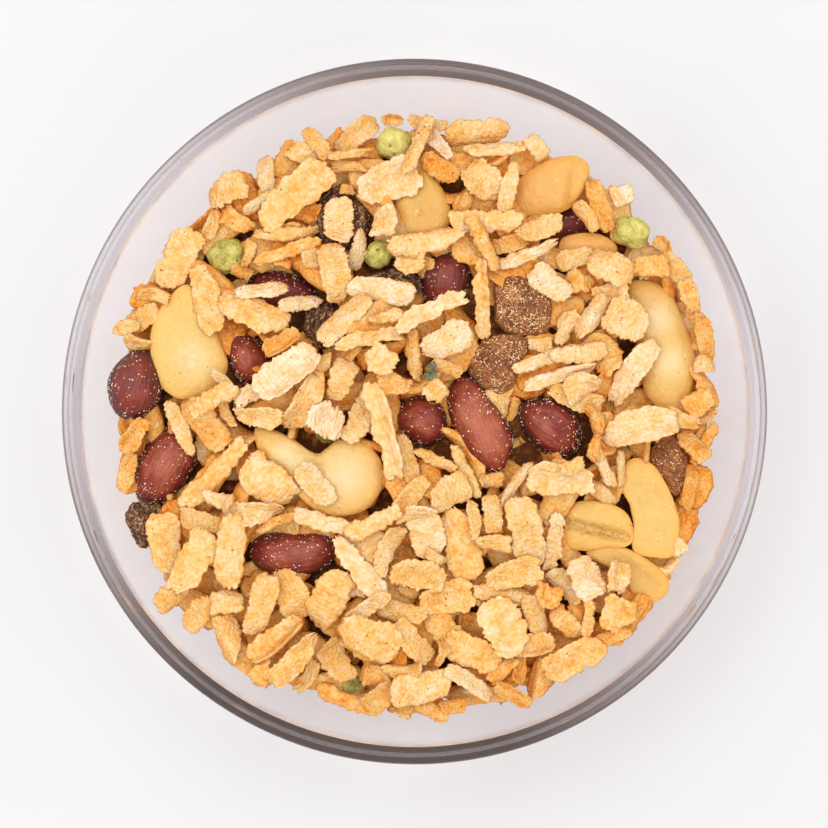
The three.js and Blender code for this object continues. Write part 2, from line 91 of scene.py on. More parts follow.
# Outlines of the large pieces seen from above: x and y of their corners in millimetres, in order.
OUTLINES = {
    "peanut_left": [(-44.4, 10), (-42.2, 9.5), (-40.9, 7.3), (-40.3, 4.4), (-40.6, 1.8), (-41.9, 0.1),
        (-43.6, -1), (-45.7, -1.2), (-47.6, -0.4), (-48.6, 1.8), (-48.9, 4.4), (-48.2, 6.6), (-46.7, 8.5)],
    "peanut_lower_left": [(-38.7, -2.5), (-36.4, -3.1), (-34.8, -5), (-34.5, -7.1), (-35.5, -9.6),
        (-37.1, -11.9), (-39.5, -14), (-42.2, -14.8), (-44.4, -14), (-45.1, -11.6), (-44.7, -8.7),
        (-43.1, -5.7), (-41.1, -3.6)],
    "peanut_low": [(-26.4, -22.9), (-25.6, -20.5), (-24, -19.4), (-21.5, -19.1), (-17.9, -19.1),
        (-14.4, -19.2), (-12.5, -20.2), (-12, -21.9), (-13, -23.8), (-14.8, -25.4), (-17.9, -26.2),
        (-21.9, -26.2), (-24.6, -25.3)],
    "peanut_upper_left": [(-27.5, 19.7), (-25.9, 21.6), (-23.7, 22.6), (-21.3, 22.9), (-18.7, 21.8),
        (-16.5, 20.2), (-15.1, 18.3), (-16, 16.7), (-18.6, 15.9), (-21.5, 15.9), (-24.3, 16.7),
        (-26.6, 17.9)],
    "peanut_mid_left": [(-28.9, 12.5), (-26.9, 12.5), (-24.8, 11.2), (-23.4, 9.5), (-23, 7.6),
        (-24.2, 5.5), (-26.6, 4.2), (-28.3, 5), (-29.4, 7.3), (-29.9, 9.8)],
    "peanut_centre": [(-2.6, 1.2), (-0.9, 2.5), (1, 2.8), (3.1, 2.2), (4.7, 0.6), (5.3, -1.5), (4.9, -3.7),
        (3.4, -5.2), (1.5, -5.7), (-0.7, -4.7), (-2.6, -3), (-3.4, -0.7)],
    "peanut_long": [(7.6, 5.8), (10.4, 4.2), (12.4, 1.5), (14.4, -1.4), (15.6, -4.1), (15.2, -7.1),
        (14, -9.3), (12, -9.6), (10.1, -8.4), (7.9, -5.3), (6, -2.2), (5.2, 1), (5.5, 3.9)],
    "peanut_right": [(17.6, 1.7), (20.2, 2.2), (23.5, 1.8), (25.4, -0.1), (26.6, -3.1), (26.1, -6),
        (23.7, -7.6), (21.1, -6.9), (18.9, -5), (17.1, -2.5), (16.7, 0.1)],
    "peanut_top": [(1.2, 19.1), (1, 21.8), (2.2, 24), (4.1, 25.3), (6, 25.6), (7.7, 24.6), (8.7, 22.6),
        (8.7, 20), (7.7, 17.8), (5.7, 16.5), (3.3, 16.5), (1.8, 17.5)],
    "cashew_left": [(-36.9, 20.2), (-39.3, 18.3), (-41.1, 15.7), (-42, 13), (-42.2, 10.3), (-41.7, 6.9),
        (-40.6, 4.2), (-38.7, 2.6), (-36.3, 2), (-33.6, 2.6), (-31.3, 4.1), (-29.9, 6.3), (-29.7, 8.2),
        (-30.7, 10.6), (-32, 13.8), (-33.4, 17), (-35, 19.4)],
    "cashew_top": [(1.7, 39.2), (3.1, 37.6), (4.5, 35.3), (5.8, 32.8), (5.7, 30.2), (4.1, 28.3),
        (1.2, 27.7), (-1.4, 28.3), (-2.5, 30.9), (-3.1, 33.7), (-2.2, 35.6), (-0.2, 37.6)],
    "cashew_upper_right": [(16.2, 36.3), (17.5, 37.9), (19.4, 39.2), (22.4, 40.4), (25.8, 40.7),
        (27.5, 39.5), (27.7, 37.2), (26.4, 34.2), (24.3, 32.3), (21.6, 31.3), (19.1, 30.9), (16.7, 31.8),
        (15.9, 34.1)],
    "cashew_right": [(34.7, 20.8), (37.2, 21.1), (39.5, 20.2), (41.2, 18.3), (43.3, 14.4), (44.6, 10.6),
        (45.1, 6.8), (44.3, 3), (42.8, 0.7), (41.1, -0.4), (39.2, 0.4), (37.2, 2.5), (36.3, 5.3),
        (36, 8.9), (35.3, 12.4), (34.4, 15.6), (33.7, 18.4)],
    "cashew_lower_right": [(33.7, -8.2), (35.6, -7.4), (37.9, -8.4), (39.8, -11.1), (41.4, -14.3),
        (42.2, -17.5), (41.9, -20.9), (41.1, -23.2), (38.4, -23.3), (35.4, -22.8), (34.5, -21), (34.9, -17.7),
        (34.3, -14.8), (33.1, -12.7), (33, -10)],
    "cashew_inner": [(24.5, -15.4), (25.9, -14.3), (28.6, -14.1), (31.3, -14.8), (33.6, -16),
        (34.8, -18.3), (34.7, -20.7), (32.9, -21.8), (29.9, -21.9), (26.7, -22.1), (24.5, -21.3),
        (23.8, -18.4)],
    "cashew_low": [(27.4, -21.8), (29.3, -20.7), (32.1, -21.1), (35, -22.4), (37.7, -24), (40, -26.2),
        (40.6, -28.3), (39.3, -29.9), (36.8, -30.4), (34.8, -29.4), (33.6, -27.2), (32, -25.6),
        (29.9, -24.3), (28, -23.5)],
    "cashew_centre": [(-25, -2.6), (-22.9, -2.6), (-20.7, -3.6), (-18.7, -4.7), (-17, -6), (-15.4, -6.6),
        (-14, -5.7), (-12.2, -4.5), (-10.1, -4.2), (-8.1, -4.9), (-6.3, -6.3), (-5.2, -8.4), (-5, -10.6),
        (-5.7, -13), (-7.1, -14.9), (-9.3, -16.2), (-11.9, -16.7), (-14.4, -16.2), (-16.8, -14.9),
        (-18.9, -12.8), (-21.3, -10), (-23.5, -7.7), (-25.1, -5.3)],
    "cashew_shaded": [(23.2, 27.5), (25.1, 28.5), (28, 28.6), (30.5, 28), (32.3, 26.4), (31.5, 24.6),
        (28.9, 24), (25.4, 24.3), (23.2, 25.4)],
    "raisin_golden_upper": [(13.2, 20.8), (15.6, 22.1), (17.9, 21.5), (19.4, 19.9), (21.5, 18.3),
        (22.1, 15.9), (21.6, 13.5), (20.2, 12.2), (17.1, 12), (14.3, 12.8), (12.8, 15.1), (12.7, 18.1)],
    "raisin_golden_lower": [(9.2, 9.8), (10.6, 11.4), (12.8, 12.2), (16.3, 12.2), (18.4, 11.1),
        (17.9, 9.2), (16.5, 7.3), (16, 4.5), (14, 2.8), (11.1, 3.4), (8.9, 5.5), (8.4, 7.9)],
    "raisin_right": [(37.4, -7.4), (38.5, -5.2), (40.4, -3.6), (41.9, -4.5), (43, -6.1), (43.5, -8.4),
        (43.5, -10.6), (42.7, -12.8), (41.4, -13.5), (40, -11.9), (38.7, -9.6)],
    "raisin_dark_left": [(-46, -15.7), (-45.1, -14.4), (-42.8, -14.8), (-41.1, -15.6), (-40.9, -17.6),
        (-41.2, -19.9), (-42.2, -21.3), (-43.5, -21.9), (-44.3, -21), (-45.2, -19.1), (-46, -17.5)],
    "raisin_dark_top": [(-16.2, 29.6), (-15.7, 32.3), (-14.1, 34.8), (-12, 36.3), (-9.8, 35.2),
        (-7.7, 32.6), (-7.3, 29.9), (-8.4, 26.9), (-11.1, 25.4), (-14, 26.1), (-15.7, 27.5)],
    "raisin_dark_mid": [(-17.8, 14.1), (-17, 16), (-15.2, 17.1), (-13.3, 17.3), (-11.9, 16), (-11.4, 13.6),
        (-12.4, 11.4), (-14.4, 10.1), (-16.3, 10.6), (-17.5, 12.2)],
    "raisin_upper": [(-7.4, 20.8), (-5.8, 22.1), (-3.1, 22.7), (-0.4, 22.1), (1.2, 20.3), (0.2, 18.6),
        (-2.3, 17.9), (-5.2, 18.4), (-6.9, 19.4)],
    "peanut_deep": [(29.3, 32), (26.9, 33.6), (23.6, 33), (20.7, 30.6), (20.6, 28.3), (23.1, 27.3),
        (26.5, 28),
        (29.3, 30.3)],
}
# How each of them lies and looks: the turn of its grain in degrees, the share of its height at which its
# outline lies, how square its flank is, its slope to the right and to the back, and its tone. Dents are x, y,
# depth and radius; clefts are x and y of both ends, depth and width; pale places, partly paler flesh and
# partly a painted highlight, are x, y and radius, all in millimetres.
# Crystals is the share of a raisin's sugar.
PEANUTS = {
    "peanut_left": dict(turn=72, tone=0.3),
    "peanut_lower_left": dict(turn=61, tone=0.7),
    "peanut_low": dict(turn=2, tone=0.52),
    "peanut_upper_left": dict(turn=-15, tone=0.3),
    "peanut_mid_left": dict(turn=112, tone=0.75),
    "peanut_centre": dict(turn=-30, tone=0.56),
    "peanut_long": dict(turn=113, tone=0.95),
    "peanut_right": dict(turn=-35, tone=0.45),
    "peanut_top": dict(turn=80, tone=0.22),
    "peanut_deep": dict(turn=20, tone=0.1),
}
CASHEWS = {
    "cashew_left": dict(edge=0.76, square=9, tone=0.02, dents=[(-35.4, 7.7, 0.8, 1.5)],
        pale=[(-35.4, 8.4, 2.2)],
                        clefts=[(-37, 14.6, -35.6, 8, 0.4, 1.9)]),
    "cashew_top": dict(edge=0.6, square=4, slope=(0, -0.14), tone=0.5, dents=[(1.2, 32, 0.5, 2.6)]),
    "cashew_upper_right": dict(edge=0.5, square=3, slope=(0.08, 0.06), tone=0.95,
                               clefts=[(25.8, 40, 24.7, 32.6, 0.8, 0.9)]),
    "cashew_right": dict(edge=0.5, square=2.8, slope=(0, -0.05), tone=0.22,
                         clefts=[(38, 18.2, 41.6, 4.6, 0.3, 1.3)], pale=[(38.6, 15, 2.6), (40.6, 8, 2.2)]),
    "cashew_lower_right": dict(edge=0.78, square=10, tone=0.22, dents=[(37.4, -14.5, 0.3, 3)]),
    "cashew_inner": dict(edge=0.66, square=6, tone=0.3, clefts=[(24.3, -17.7, 33.8, -20.1, 1.3, 0.8)]),
    "cashew_low": dict(edge=0.66, square=6, tone=0.46, clefts=[(33.1, -23.7, 38.2, -27.6, 0.4, 1)]),
    "cashew_centre": dict(edge=0.68, square=6, tone=0, dents=[(-10.4, -10.9, 0.9, 2.6)],
                          pale=[(-11, -10.2, 3.2), (-20.4, -6.7, 1.9), (-18, -8.2, 1.6)],
                          clefts=[(-15.4, -6.4, -14.6, -9.6, 0.6, 1), (-23.5, -4.6, -18.5, -8.6, -0.4, 1.4)]),
    "cashew_shaded": dict(edge=0.5, square=2.6, tone=1),
}
GOLDEN_RAISINS = {
    "raisin_golden_upper": dict(turn=70),
    "raisin_golden_lower": dict(turn=20),
    "raisin_right": dict(turn=100, crystals=0.3),
}
DARK_RAISINS = {
    "raisin_dark_left": dict(turn=111),
    "raisin_dark_top": dict(turn=75),
    "raisin_dark_mid": dict(turn=60),
    "raisin_upper": dict(turn=-5),
}
# Peas: the turn in degrees, length and width in millimetres, and tone.
PEAS = {
    "pea_top": dict(turn=0, size=(5.8, 5.5), tone=1),
    "pea_left": dict(turn=20, size=(6.4, 5.9), tone=0.5),
    "pea_middle": dict(turn=50, size=(4.9, 4.6), tone=0.4),
    "pea_right": dict(turn=-12, size=(6.4, 5.4), tone=0.75),
    "pea_low": dict(turn=35, size=(5.4, 5), tone=0.1),
    "pea_by_cashew": dict(turn=0, size=(5, 4.8), tone=0.4),
    "pea_by_peanut": dict(turn=80, size=(5, 4.7), tone=0.2),
}
# The flakes that show, lower ones first: x and y of the middle, length and width in millimetres, turn in
# degrees, tone from toasted to cream, which for some flakes also paints the shade they lie in, and 1 where
# the flake lies over a large piece.
SHOWN_FLAKES = [
    (-20.3, 40.1, 6.4, 4, 60, 0.25, 0), (-28.5, 30.4, 5.7, 2.9, -35, 0.35, 0),
    (-32.5, 29.6, 5.1, 2.2, 65, 0.5, 0), (-27.4, 22.2, 3.5, 2.2, -20, 0.45, 0),
    (-41.4, 18.6, 5.1, 2.2, -10, 0.5, 0), (-10.3, 38.8, 5.7, 1.6, -8, 0.5, 0),
    (-10.6, 35.3, 2.4, 1.6, 0, 0.5, 0), (8.9, 25.4, 5.7, 4.1, -40, 0.35, 0),
    (4.1, 38.8, 6.7, 3.5, -30, 0.25, 0), (8.1, 33.3, 3.5, 1.9, 70, 0.45, 0),
    (0.6, 43.1, 4.1, 1.9, -75, 0.5, 0), (-3.6, 46.8, 3.2, 1.9, 0, 0.5, 0),
    (29.6, 32.9, 8.8, 2.9, -70, 0.3, 0), (14.9, 26.6, 6.4, 2.6, 15, 0.4, 0),
    (26.1, 20.2, 4.8, 3.5, 0, 0.4, 0), (45.5, 13.8, 4.8, 2.2, -75, 0.35, 0),
    (-44.6, -3.7, 6.4, 3.2, 60, 0.35, 0), (-45.6, -9.6, 6.4, 2.6, 76, 0.45, 0),
    (-14.8, 7.9, 3.2, 2.6, 0, 0.55, 0), (5.3, 6.8, 4.8, 2.2, -20, 0.55, 0), (-3, 4.1, 5.4, 3.2, -5, 0.45, 0),
    (12, -10.9, 3.8, 2.2, 0, 0.5, 0), (46.3, 11.4, 7.3, 2.6, -80, 0.35, 0), (46.3, 7.4, 3.5, 2.6, 0, 0.7, 0),
    (45.1, 1.5, 4.8, 3.8, 30, 0.4, 0), (46.2, -5.5, 8, 1.9, 62, 0.3, 0), (43.9, -12.5, 6.4, 2.2, 80, 0.3, 0),
    (-37.7, -28.5, 8, 3.8, 40, 0.5, 0), (-34.2, -32, 6.4, 3.8, 50, 0.5, 0),
    (-26.9, -39.6, 7, 3.5, -40, 0.4, 0), (-23.8, -40.9, 4.8, 3.2, -80, 0.45, 0),
    (-11.1, -46, 9.9, 2.6, -25, 0.35, 0), (-1, -28.5, 3.8, 2.2, -30, 0.45, 0),
    (4.9, -34.5, 8, 4.5, -50, 0.4, 0), (-6, -42, 4.1, 3.2, 0, 0.4, 0), (-5.5, -45.2, 6.4, 3.8, 40, 0.4, 0),
    (-1, -46.5, 4.8, 2.9, 70, 0.45, 0), (2.8, -47.4, 5.4, 2.6, -35, 0.45, 0),
    (6, -46.8, 4.5, 2.2, 10, 0.25, 0), (12, -44.7, 6.4, 2.2, -10, 0.45, 0),
    (35.2, -31.2, 5.1, 2.6, 60, 0.35, 0), (31.2, -35.6, 6.4, 2.2, 20, 0.4, 0),
    (16.5, -40.9, 5.4, 1.9, 80, 0.35, 0), (19.7, -42.8, 7.3, 2.9, 65, 0.45, 0),
    (14, -40.9, 5.7, 2.6, 45, 0.4, 0), (15.6, -44.7, 6.4, 2.2, -25, 0.4, 0),
    (-37.7, 24.5, 10.5, 5.4, 65, 0.6, 0), (-30.2, 35.3, 7.2, 4.8, 30, 0.6, 0),
    (-23.8, 38.2, 6.4, 2.9, 95, 0.8, 0), (-17.5, 40.9, 5.6, 3.5, -30, 0.6, 0),
    (-15.4, 42.5, 6.1, 2.6, -50, 0.5, 0), (-24.6, 33.3, 6.1, 1.9, 35, 0.7, 0),
    (-20.2, 28.1, 10.5, 2.2, 5, 0.6, 0), (-19.9, 25.4, 11.2, 2.2, 15, 0.5, 0),
    (-26.4, 25.1, 4.5, 1.9, 80, 0.5, 0), (-14.8, 24.5, 6.4, 3.2, 10, 0.6, 0),
    (-43.3, 14.9, 6.4, 3.2, 30, 0.5, 0), (-45.7, 13.3, 4.1, 2.2, 10, 0.6, 0),
    (-9.2, 44.3, 8.3, 3.5, 35, 0.6, 0), (-10.3, 40.9, 8, 1.4, 8, 0.6, 0), (-4.7, 30.2, 5.1, 4.5, 90, 0.7, 0),
    (-8.9, 25.8, 6.7, 2.6, 75, 0.85, 1), (-12.7, 22.2, 9.6, 4.5, 100, 0.6, 0),
    (-4.7, 14.8, 5.6, 1.9, 15, 0.6, 0), (-0.7, 23.8, 4.8, 3.2, 0, 0.6, 0),
    (11.2, 36.6, 7.2, 5.4, -45, 0.6, 0), (14.9, 35.3, 8.8, 2.4, 80, 0.75, 0),
    (12.8, 41.7, 9.9, 2.6, 8, 0.75, 0), (10.1, 44.6, 10.5, 4.1, 8, 0.55, 0), (2.2, 46, 6.4, 2.2, -12, 0.7, 0),
    (19.4, 42, 4.5, 2.9, -60, 0.85, 0), (27.5, 31, 5.4, 2.6, -50, 0.5, 0),
    (33.1, 34.5, 3.8, 3.2, 10, 0.95, 0), (25.6, 24.5, 6.1, 3.2, 20, 0.6, 0),
    (36.4, 23.8, 5.4, 4.1, 70, 0.7, 0), (39.8, 26.4, 3.2, 2.2, -40, 0.5, 0),
    (41.5, 22.6, 6.4, 3.2, -40, 0.45, 0), (43.6, 18.4, 5.7, 2.6, -70, 0.4, 0),
    (24.2, 13.3, 5.7, 2.9, 60, 0.8, 0), (31.2, 19.1, 5.7, 3.2, 10, 0.6, 0),
    (-26.2, 2.5, 4.8, 2.6, 25, 0.9, 0), (-17.8, 1, 9.9, 4.1, 55, 0.6, 0), (-24.6, -0.7, 8, 3.2, -5, 0.7, 0),
    (-29.9, 0.6, 6.1, 1.6, -75, 0.6, 0), (-29.7, 4.5, 5.7, 1.4, -38, 0.75, 1),
    (-33.1, -2, 9.6, 4.8, -50, 0.4, 0), (-23, -11.2, 9.9, 6.4, -35, 0.65, 1),
    (-25.4, -15.7, 9.6, 3.5, 5, 0.75, 0), (-33.9, -17.3, 8, 3.2, -13, 0.6, 0),
    (-20.7, 10.6, 6.4, 2.6, 30, 0.4, 0), (-7.1, 11.4, 11.5, 2.2, 14, 0.65, 0),
    (-11.6, 5, 6.7, 3.8, 70, 0.65, 0), (-0.1, 8.7, 8.9, 2.4, -85, 0.5, 0), (3.3, 3.3, 3.8, 3.2, -40, 0.65, 0),
    (-8.4, -0.6, 9.9, 3.8, 65, 0.65, 0), (-1.2, -7.4, 8, 2.9, -80, 0.55, 0),
    (3.4, -7.7, 7.3, 1.9, -22, 0.6, 0), (8.1, -9.3, 9.3, 1.8, -60, 0.55, 0),
    (5.5, -12.8, 7.3, 4.8, 30, 0.65, 0), (12.2, -16.2, 6.1, 3.2, -85, 0.55, 0),
    (20, 10.6, 3.8, 2.2, 0, 0.7, 0), (25.6, 2.2, 8.9, 3.2, -12, 0.6, 1), (29.9, 8.9, 7.3, 5.1, -50, 0.45, 0),
    (29.9, -8.5, 8.3, 1.9, -62, 0.75, 0), (32.8, -9, 5.7, 1.4, -85, 0.7, 0),
    (29.9, -12.8, 5.7, 2.2, -35, 0.6, 0), (42.7, -1.4, 5.4, 2.2, -20, 0.5, 0),
    (-39.6, -20.8, 9.6, 5.1, -80, 0.55, 0), (-35, -23.7, 11.2, 5.1, 58, 0.6, 0),
    (-29.7, -36, 8, 3.8, -80, 0.55, 0), (-19.5, -29.1, 8.9, 5.1, -65, 0.5, 0),
    (-21.5, -36.4, 10.2, 4.1, 38, 0.5, 0), (-17, -42.2, 5.7, 2.2, 55, 0.5, 0),
    (-12.5, -39.6, 7.3, 4.5, -60, 0.55, 0), (-21.9, -17.6, 6.7, 1.6, 22, 0.45, 0),
    (-10, -28.5, 4.5, 2.6, 15, 0.85, 0), (-7.4, -20.8, 8.3, 5.7, -40, 0.55, 0),
    (7.3, -20.8, 11.8, 5.4, -75, 0.5, 0), (9.2, -17.3, 6.4, 1.9, -85, 0.6, 0),
    (5, -29.4, 8.9, 5.1, 10, 0.5, 0), (-2, -31.7, 8.3, 3.2, -15, 0.55, 0),
    (-0.4, -36.4, 8.3, 4.1, -45, 0.55, 0), (8.9, -38, 9.6, 4.8, -25, 0.55, 0),
    (13.6, -28.9, 9.3, 2.9, -12, 0.6, 0), (12.4, -20.5, 5.7, 2.6, 0, 0.55, 0),
    (-1.5, -40.6, 6.7, 2.6, 10, 0.6, 0), (4.1, -38, 4.1, 1.6, 80, 0.6, 0),
    (22.1, -20.5, 9.9, 2.6, 80, 0.75, 0), (24, -27.7, 7, 3.2, -50, 0.75, 0),
    (19.1, -32, 6.7, 3.5, -75, 0.65, 0), (24, -33.3, 6.4, 3.2, -40, 0.5, 0),
    (27.4, -32.5, 6.4, 1.9, 88, 0.55, 0), (31.7, -32, 5.7, 5.1, 60, 0.45, 0),
    (19.1, -37.2, 6.4, 3.5, 10, 0.55, 0), (25.1, -38.8, 10.5, 5.4, 25, 0.5, 0),
    (-18.9, 34.4, 14, 5.7, 38, 0.6, 0), (-11.9, 30.2, 7.7, 4.8, 90, 0.7, 1),
    (-32.9, 17.8, 11.2, 4.5, -75, 0.55, 1), (-25.4, 15.9, 12, 5.7, -25, 0.6, 1),
    (-24.3, 19.1, 8.3, 2.6, 5, 0.85, 1), (-17.9, 17.3, 7.3, 2.6, 8, 0.9, 1),
    (-4.2, 36.6, 10.5, 6.1, 18, 0.85, 1), (-5.2, 19.1, 10.8, 3.8, -8, 0.9, 1),
    (-11.1, 14.6, 10.4, 4.5, 38, 0.75, 1), (2.5, 15.7, 12.8, 2.7, 26, 0.85, 1),
    (10.9, 17.8, 13.1, 2.4, -88, 0.6, 0), (1.7, 26.9, 12.4, 3.8, 12, 0.65, 0),
    (11.2, 30.2, 12.1, 3.5, 3, 0.65, 0), (3.9, 42.5, 6.4, 2.2, -48, 1, 0), (19.7, 28.9, 8, 3.5, 20, 0.65, 0),
    (17.6, 24.8, 10.8, 2.1, 20, 0.85, 0), (21.5, 20.3, 7.3, 4.1, -35, 0.9, 1),
    (31.2, 22.9, 8, 5.1, -25, 0.65, 0), (28.1, 15.1, 8, 3.2, 55, 0.85, 0),
    (33.6, 14.6, 7.2, 6.1, -30, 0.7, 1), (-19.9, 6, 11.5, 5.4, 38, 0.95, 1),
    (-37.2, -2.6, 9.6, 2.4, -68, 0.7, 1), (-31.8, -10, 14.4, 3.2, 47, 0.6, 0),
    (-15.6, -11.4, 8, 4.1, -50, 0.75, 1), (-14.1, -1.4, 6.4, 5.1, -20, 0.95, 1),
    (-5, 8.2, 5.1, 4.1, -35, 0.7, 0), (5, 11.1, 8.3, 5.1, 25, 0.85, 0), (-4.5, -3, 15.9, 3.8, -80, 0.7, 1),
    (-0.9, -13.6, 8.6, 3.2, 50, 0.6, 0), (15.7, -11.7, 8.6, 1.8, 55, 0.8, 0),
    (17.5, -19.2, 12.8, 5.4, -80, 0.65, 0), (21.1, 8.5, 11.5, 2.2, 20, 0.75, 1),
    (22.9, 5.7, 12, 2.4, 18, 0.9, 1), (34.7, 6.1, 12.1, 3.8, 55, 0.9, 1), (35.5, -2.6, 12.1, 5.1, 18, 0.8, 1),
    (23.2, -10.6, 10.5, 5.1, -5, 0.7, 0), (-28.9, -22.1, 12.1, 4.5, 88, 0.65, 0),
    (-29.6, -30.1, 5.4, 3.8, 0, 0.65, 0), (-24.3, -30.7, 10.5, 4.1, 75, 0.6, 0),
    (-13.5, -29.7, 10.2, 5.7, 60, 0.55, 0), (-18.9, -39, 10.5, 3.5, 50, 0.55, 0),
    (-13.5, -17.6, 11.5, 2.6, -8, 0.8, 1), (-8.4, -24.8, 12.8, 3.5, -52, 0.85, 0),
    (-7.1, -30.7, 8.3, 2.6, 32, 0.75, 0), (-4.1, -21.6, 8.3, 3.2, 65, 0.75, 0),
    (1.5, -18.4, 9.3, 5.7, -70, 0.75, 0), (3.4, -23, 3.5, 1.6, -25, 0.8, 0),
    (0.6, -25.6, 8.9, 5.1, -10, 0.6, 0), (-7.1, -35.6, 9.9, 6.7, -20, 0.55, 0),
    (14.1, -34.1, 9.6, 6.7, -60, 0.7, 0), (15.6, -25.6, 9.3, 4.5, 15, 0.6, 0),
    (0.9, -43.6, 9.9, 5.1, 12, 0.65, 0), (8.5, -42.8, 8.6, 2.9, -35, 0.8, 0),
    (27.2, -26.4, 7, 5.1, -65, 0.9, 0), (31.8, -26.1, 5.1, 3.8, 80, 0.7, 0),
    (28.4, -1.2, 5, 2.2, -65, 0.35, 0), (28.4, -5.6, 4.6, 1.9, 80, 0.35, 0), (24.6, -8.6, 4, 2.2, 20, 0.6, 0),
    (15.6, 0.3, 4.2, 1.7, 75, 0.35, 0), (16.6, -4.9, 2.2, 1.3, 20, 0.45, 0),
]


# Sizes and colours that a user would change


# Deep gaps that show between the pieces, down to the core that is painted in deep shade: middle and radius in
# millimetres
OPEN_GAPS = [
    (16.2, 0.2, 1.5), (16.8, -3.0, 2.2), (18.0, -7.0, 1.6), (3.5, -5.0, 1.4), (5.2, -7.5, 1.8),
    (6.5, -10.5, 1.2), (-7.2, 24.7, 2.2), (-1.5, 7.1, 1.8), (27.5, -3.5, 1.1), (27.5, -7.5, 1.2),
    (9.7, -14.9, 1.5), (-4.7, -13.9, 1.4), (9.1, 17.2, 1.4), (7.1, 36.6, 1.4), (-29.5, 22.2, 1.2),
    (10.1, -25.0, 1.3), (-28.2, 27.6, 1.1), (-20.0, 14.5, 1.2), (34.3, 9.6, 1.1), (-40.0, 1.1, 1.1),
    (-16.3, -5.3, 1.1), (-29.6, -11.6, 1.1), (24.0, -30.7, 1.1), (16.6, -43.2, 1.0), (-12.7, -25.3, 1.1),
    (13.0, 26.0, 1.0), (-10.8, -0.9, 1.0), (12.2, 13.5, 1.0), (32.6, -14.7, 1.0), (-15.0, -35.9, 0.9),
    (22.0, 12.8, 0.9), (-4.5, -38.9, 0.8), (-34.7, -9.5, 0.9),
]


class BowlSizes(bpy.types.PropertyGroup):
    """Sizes of the glass bowl."""

    rim_radius: FloatProperty(
        name="Rim radius", description="Outer radius of the rim", default=CAD_BOX[1].x, unit="LENGTH")
    height: FloatProperty(
        name="Height", description="From the table to the top of the rim", default=CAD_BOX[1].z,
        unit="LENGTH")
    rim_thickness: FloatProperty(
        name="Rim thickness", description="Width of the rounded rim", default=0.0028, unit="LENGTH")
    floor_radius: FloatProperty(
        name="Floor radius", description="Radius of the flat floor inside", default=0.025, unit="LENGTH")
    floor_thickness: FloatProperty(
        name="Floor thickness", description="Glass under the food", default=0.0055, unit="LENGTH")
    inner_bulge: FloatVectorProperty(
        name="Inner bulge", description="Radius and height that draw the inside wall outwards",
        size=2, default=(0.0455, 0.020), unit="LENGTH")
    outer_bulge: FloatVectorProperty(
        name="Outer bulge", description="Radius and height that draw the outside wall outwards",
        size=2, default=(0.0492, 0.018), unit="LENGTH")
    foot_radius: FloatProperty(
        name="Foot radius", description="Radius of the foot on the table", default=0.027, unit="LENGTH")
    foot_height: FloatProperty(
        name="Foot height", description="Height of the foot's flank", default=0.0026, unit="LENGTH")
    foot_spread: FloatProperty(
        name="Foot spread", description="How far the flank widens", default=0.0012, unit="LENGTH")
    recess_radius: FloatProperty(
        name="Recess radius", description="Radius of the hollow under the foot", default=0.022, unit="LENGTH")
    recess_depth: FloatProperty(
        name="Recess depth", description="Depth of the hollow under the foot", default=0.0008, unit="LENGTH")
    ring_depth: FloatProperty(
        name="Ring depth", description="Faint rings on the rim", default=0.000003, unit="LENGTH")
    segments: IntProperty(
        name="Segments", description="Steps round the bowl", default=360, min=24)


class HeapSizes(bpy.types.PropertyGroup):
    """Sizes and counts of the heap of flakes."""

    radius: FloatProperty(
        name="Heap radius", description="Where the heap meets the glass", default=0.0483, unit="LENGTH")
    edge_height: FloatProperty(
        name="Edge height", description="Height of the heap at the glass", default=0.038, unit="LENGTH")
    crown: FloatProperty(
        name="Crown", description="Rise from the edge to the middle", default=0.0065, unit="LENGTH")
    core_sink: FloatProperty(
        name="Core sink", description="How far the core lies below the surface", default=0.0052,
        unit="LENGTH")
    core_gap: FloatProperty(
        name="Core gap", description="Room for flakes between core and glass", default=0.0021, unit="LENGTH")
    buried_flakes: IntProperty(
        name="Buried flakes", description="Tries to lay flakes low, under the ones that show", default=520,
        min=0)
    top_flakes: IntProperty(
        name="Top flakes", description="Tries to lay flakes in gaps of the top", default=560, min=0)
    seed: IntProperty(
        name="Seed", description="Starts the scatter of the flakes", default=41, min=0)


def colour_property(label, words, default):
    return FloatVectorProperty(
        name=label, description=words, default=default, size=3, subtype="COLOR", min=0, max=1)


class MixColours(bpy.types.PropertyGroup):
    """Colours of the pieces."""

    flake_pale: colour_property("Flake pale", "Palest dust on the flakes", (0.90, 0.75, 0.605))
    flake_cream: colour_property("Flake cream", "Pale parts of the flakes", (0.825, 0.64, 0.39))
    flake_gold: colour_property("Flake gold", "Main colour of the flakes", (0.79, 0.48, 0.154))
    # The toast colour also paints the shade in the seams and hollows of the flakes.
    flake_toast: colour_property("Flake toast", "Toasted edges and hollows", (0.78, 0.30, 0.04))
    flake_powder: colour_property("Flake powder", "Patches of ground seasoning", (0.74, 0.31, 0.065))
    peanut_dark: colour_property("Peanut dark", "Dark parts of the skin", (0.065, 0.014, 0.016))
    peanut_red: colour_property("Peanut red", "Main colour of the skin", (0.205, 0.025, 0.014))
    peanut_pale: colour_property("Peanut pale", "Rubbed parts of the skin", (0.43, 0.105, 0.048))
    cashew_pale: colour_property("Cashew pale", "Untoasted cashew", (0.74, 0.515, 0.158))
    cashew_gold: colour_property("Cashew gold", "Deeper yellow of a cashew", (0.67, 0.40, 0.09))
    cashew_toast: colour_property("Cashew toast", "Toasted cashew", (0.76, 0.385, 0.10))
    raisin_gold: colour_property("Golden raisin", "Main colour of golden raisins", (0.245, 0.08, 0.026))
    raisin_dark: colour_property("Dark raisin", "Main colour of dark raisins", (0.095, 0.033, 0.015))
    pea_green: colour_property("Pea green", "Main colour of the peas", (0.52, 0.46, 0.10))
    pea_pale: colour_property("Pea pale", "Pale crust of the peas", (0.82, 0.73, 0.25))


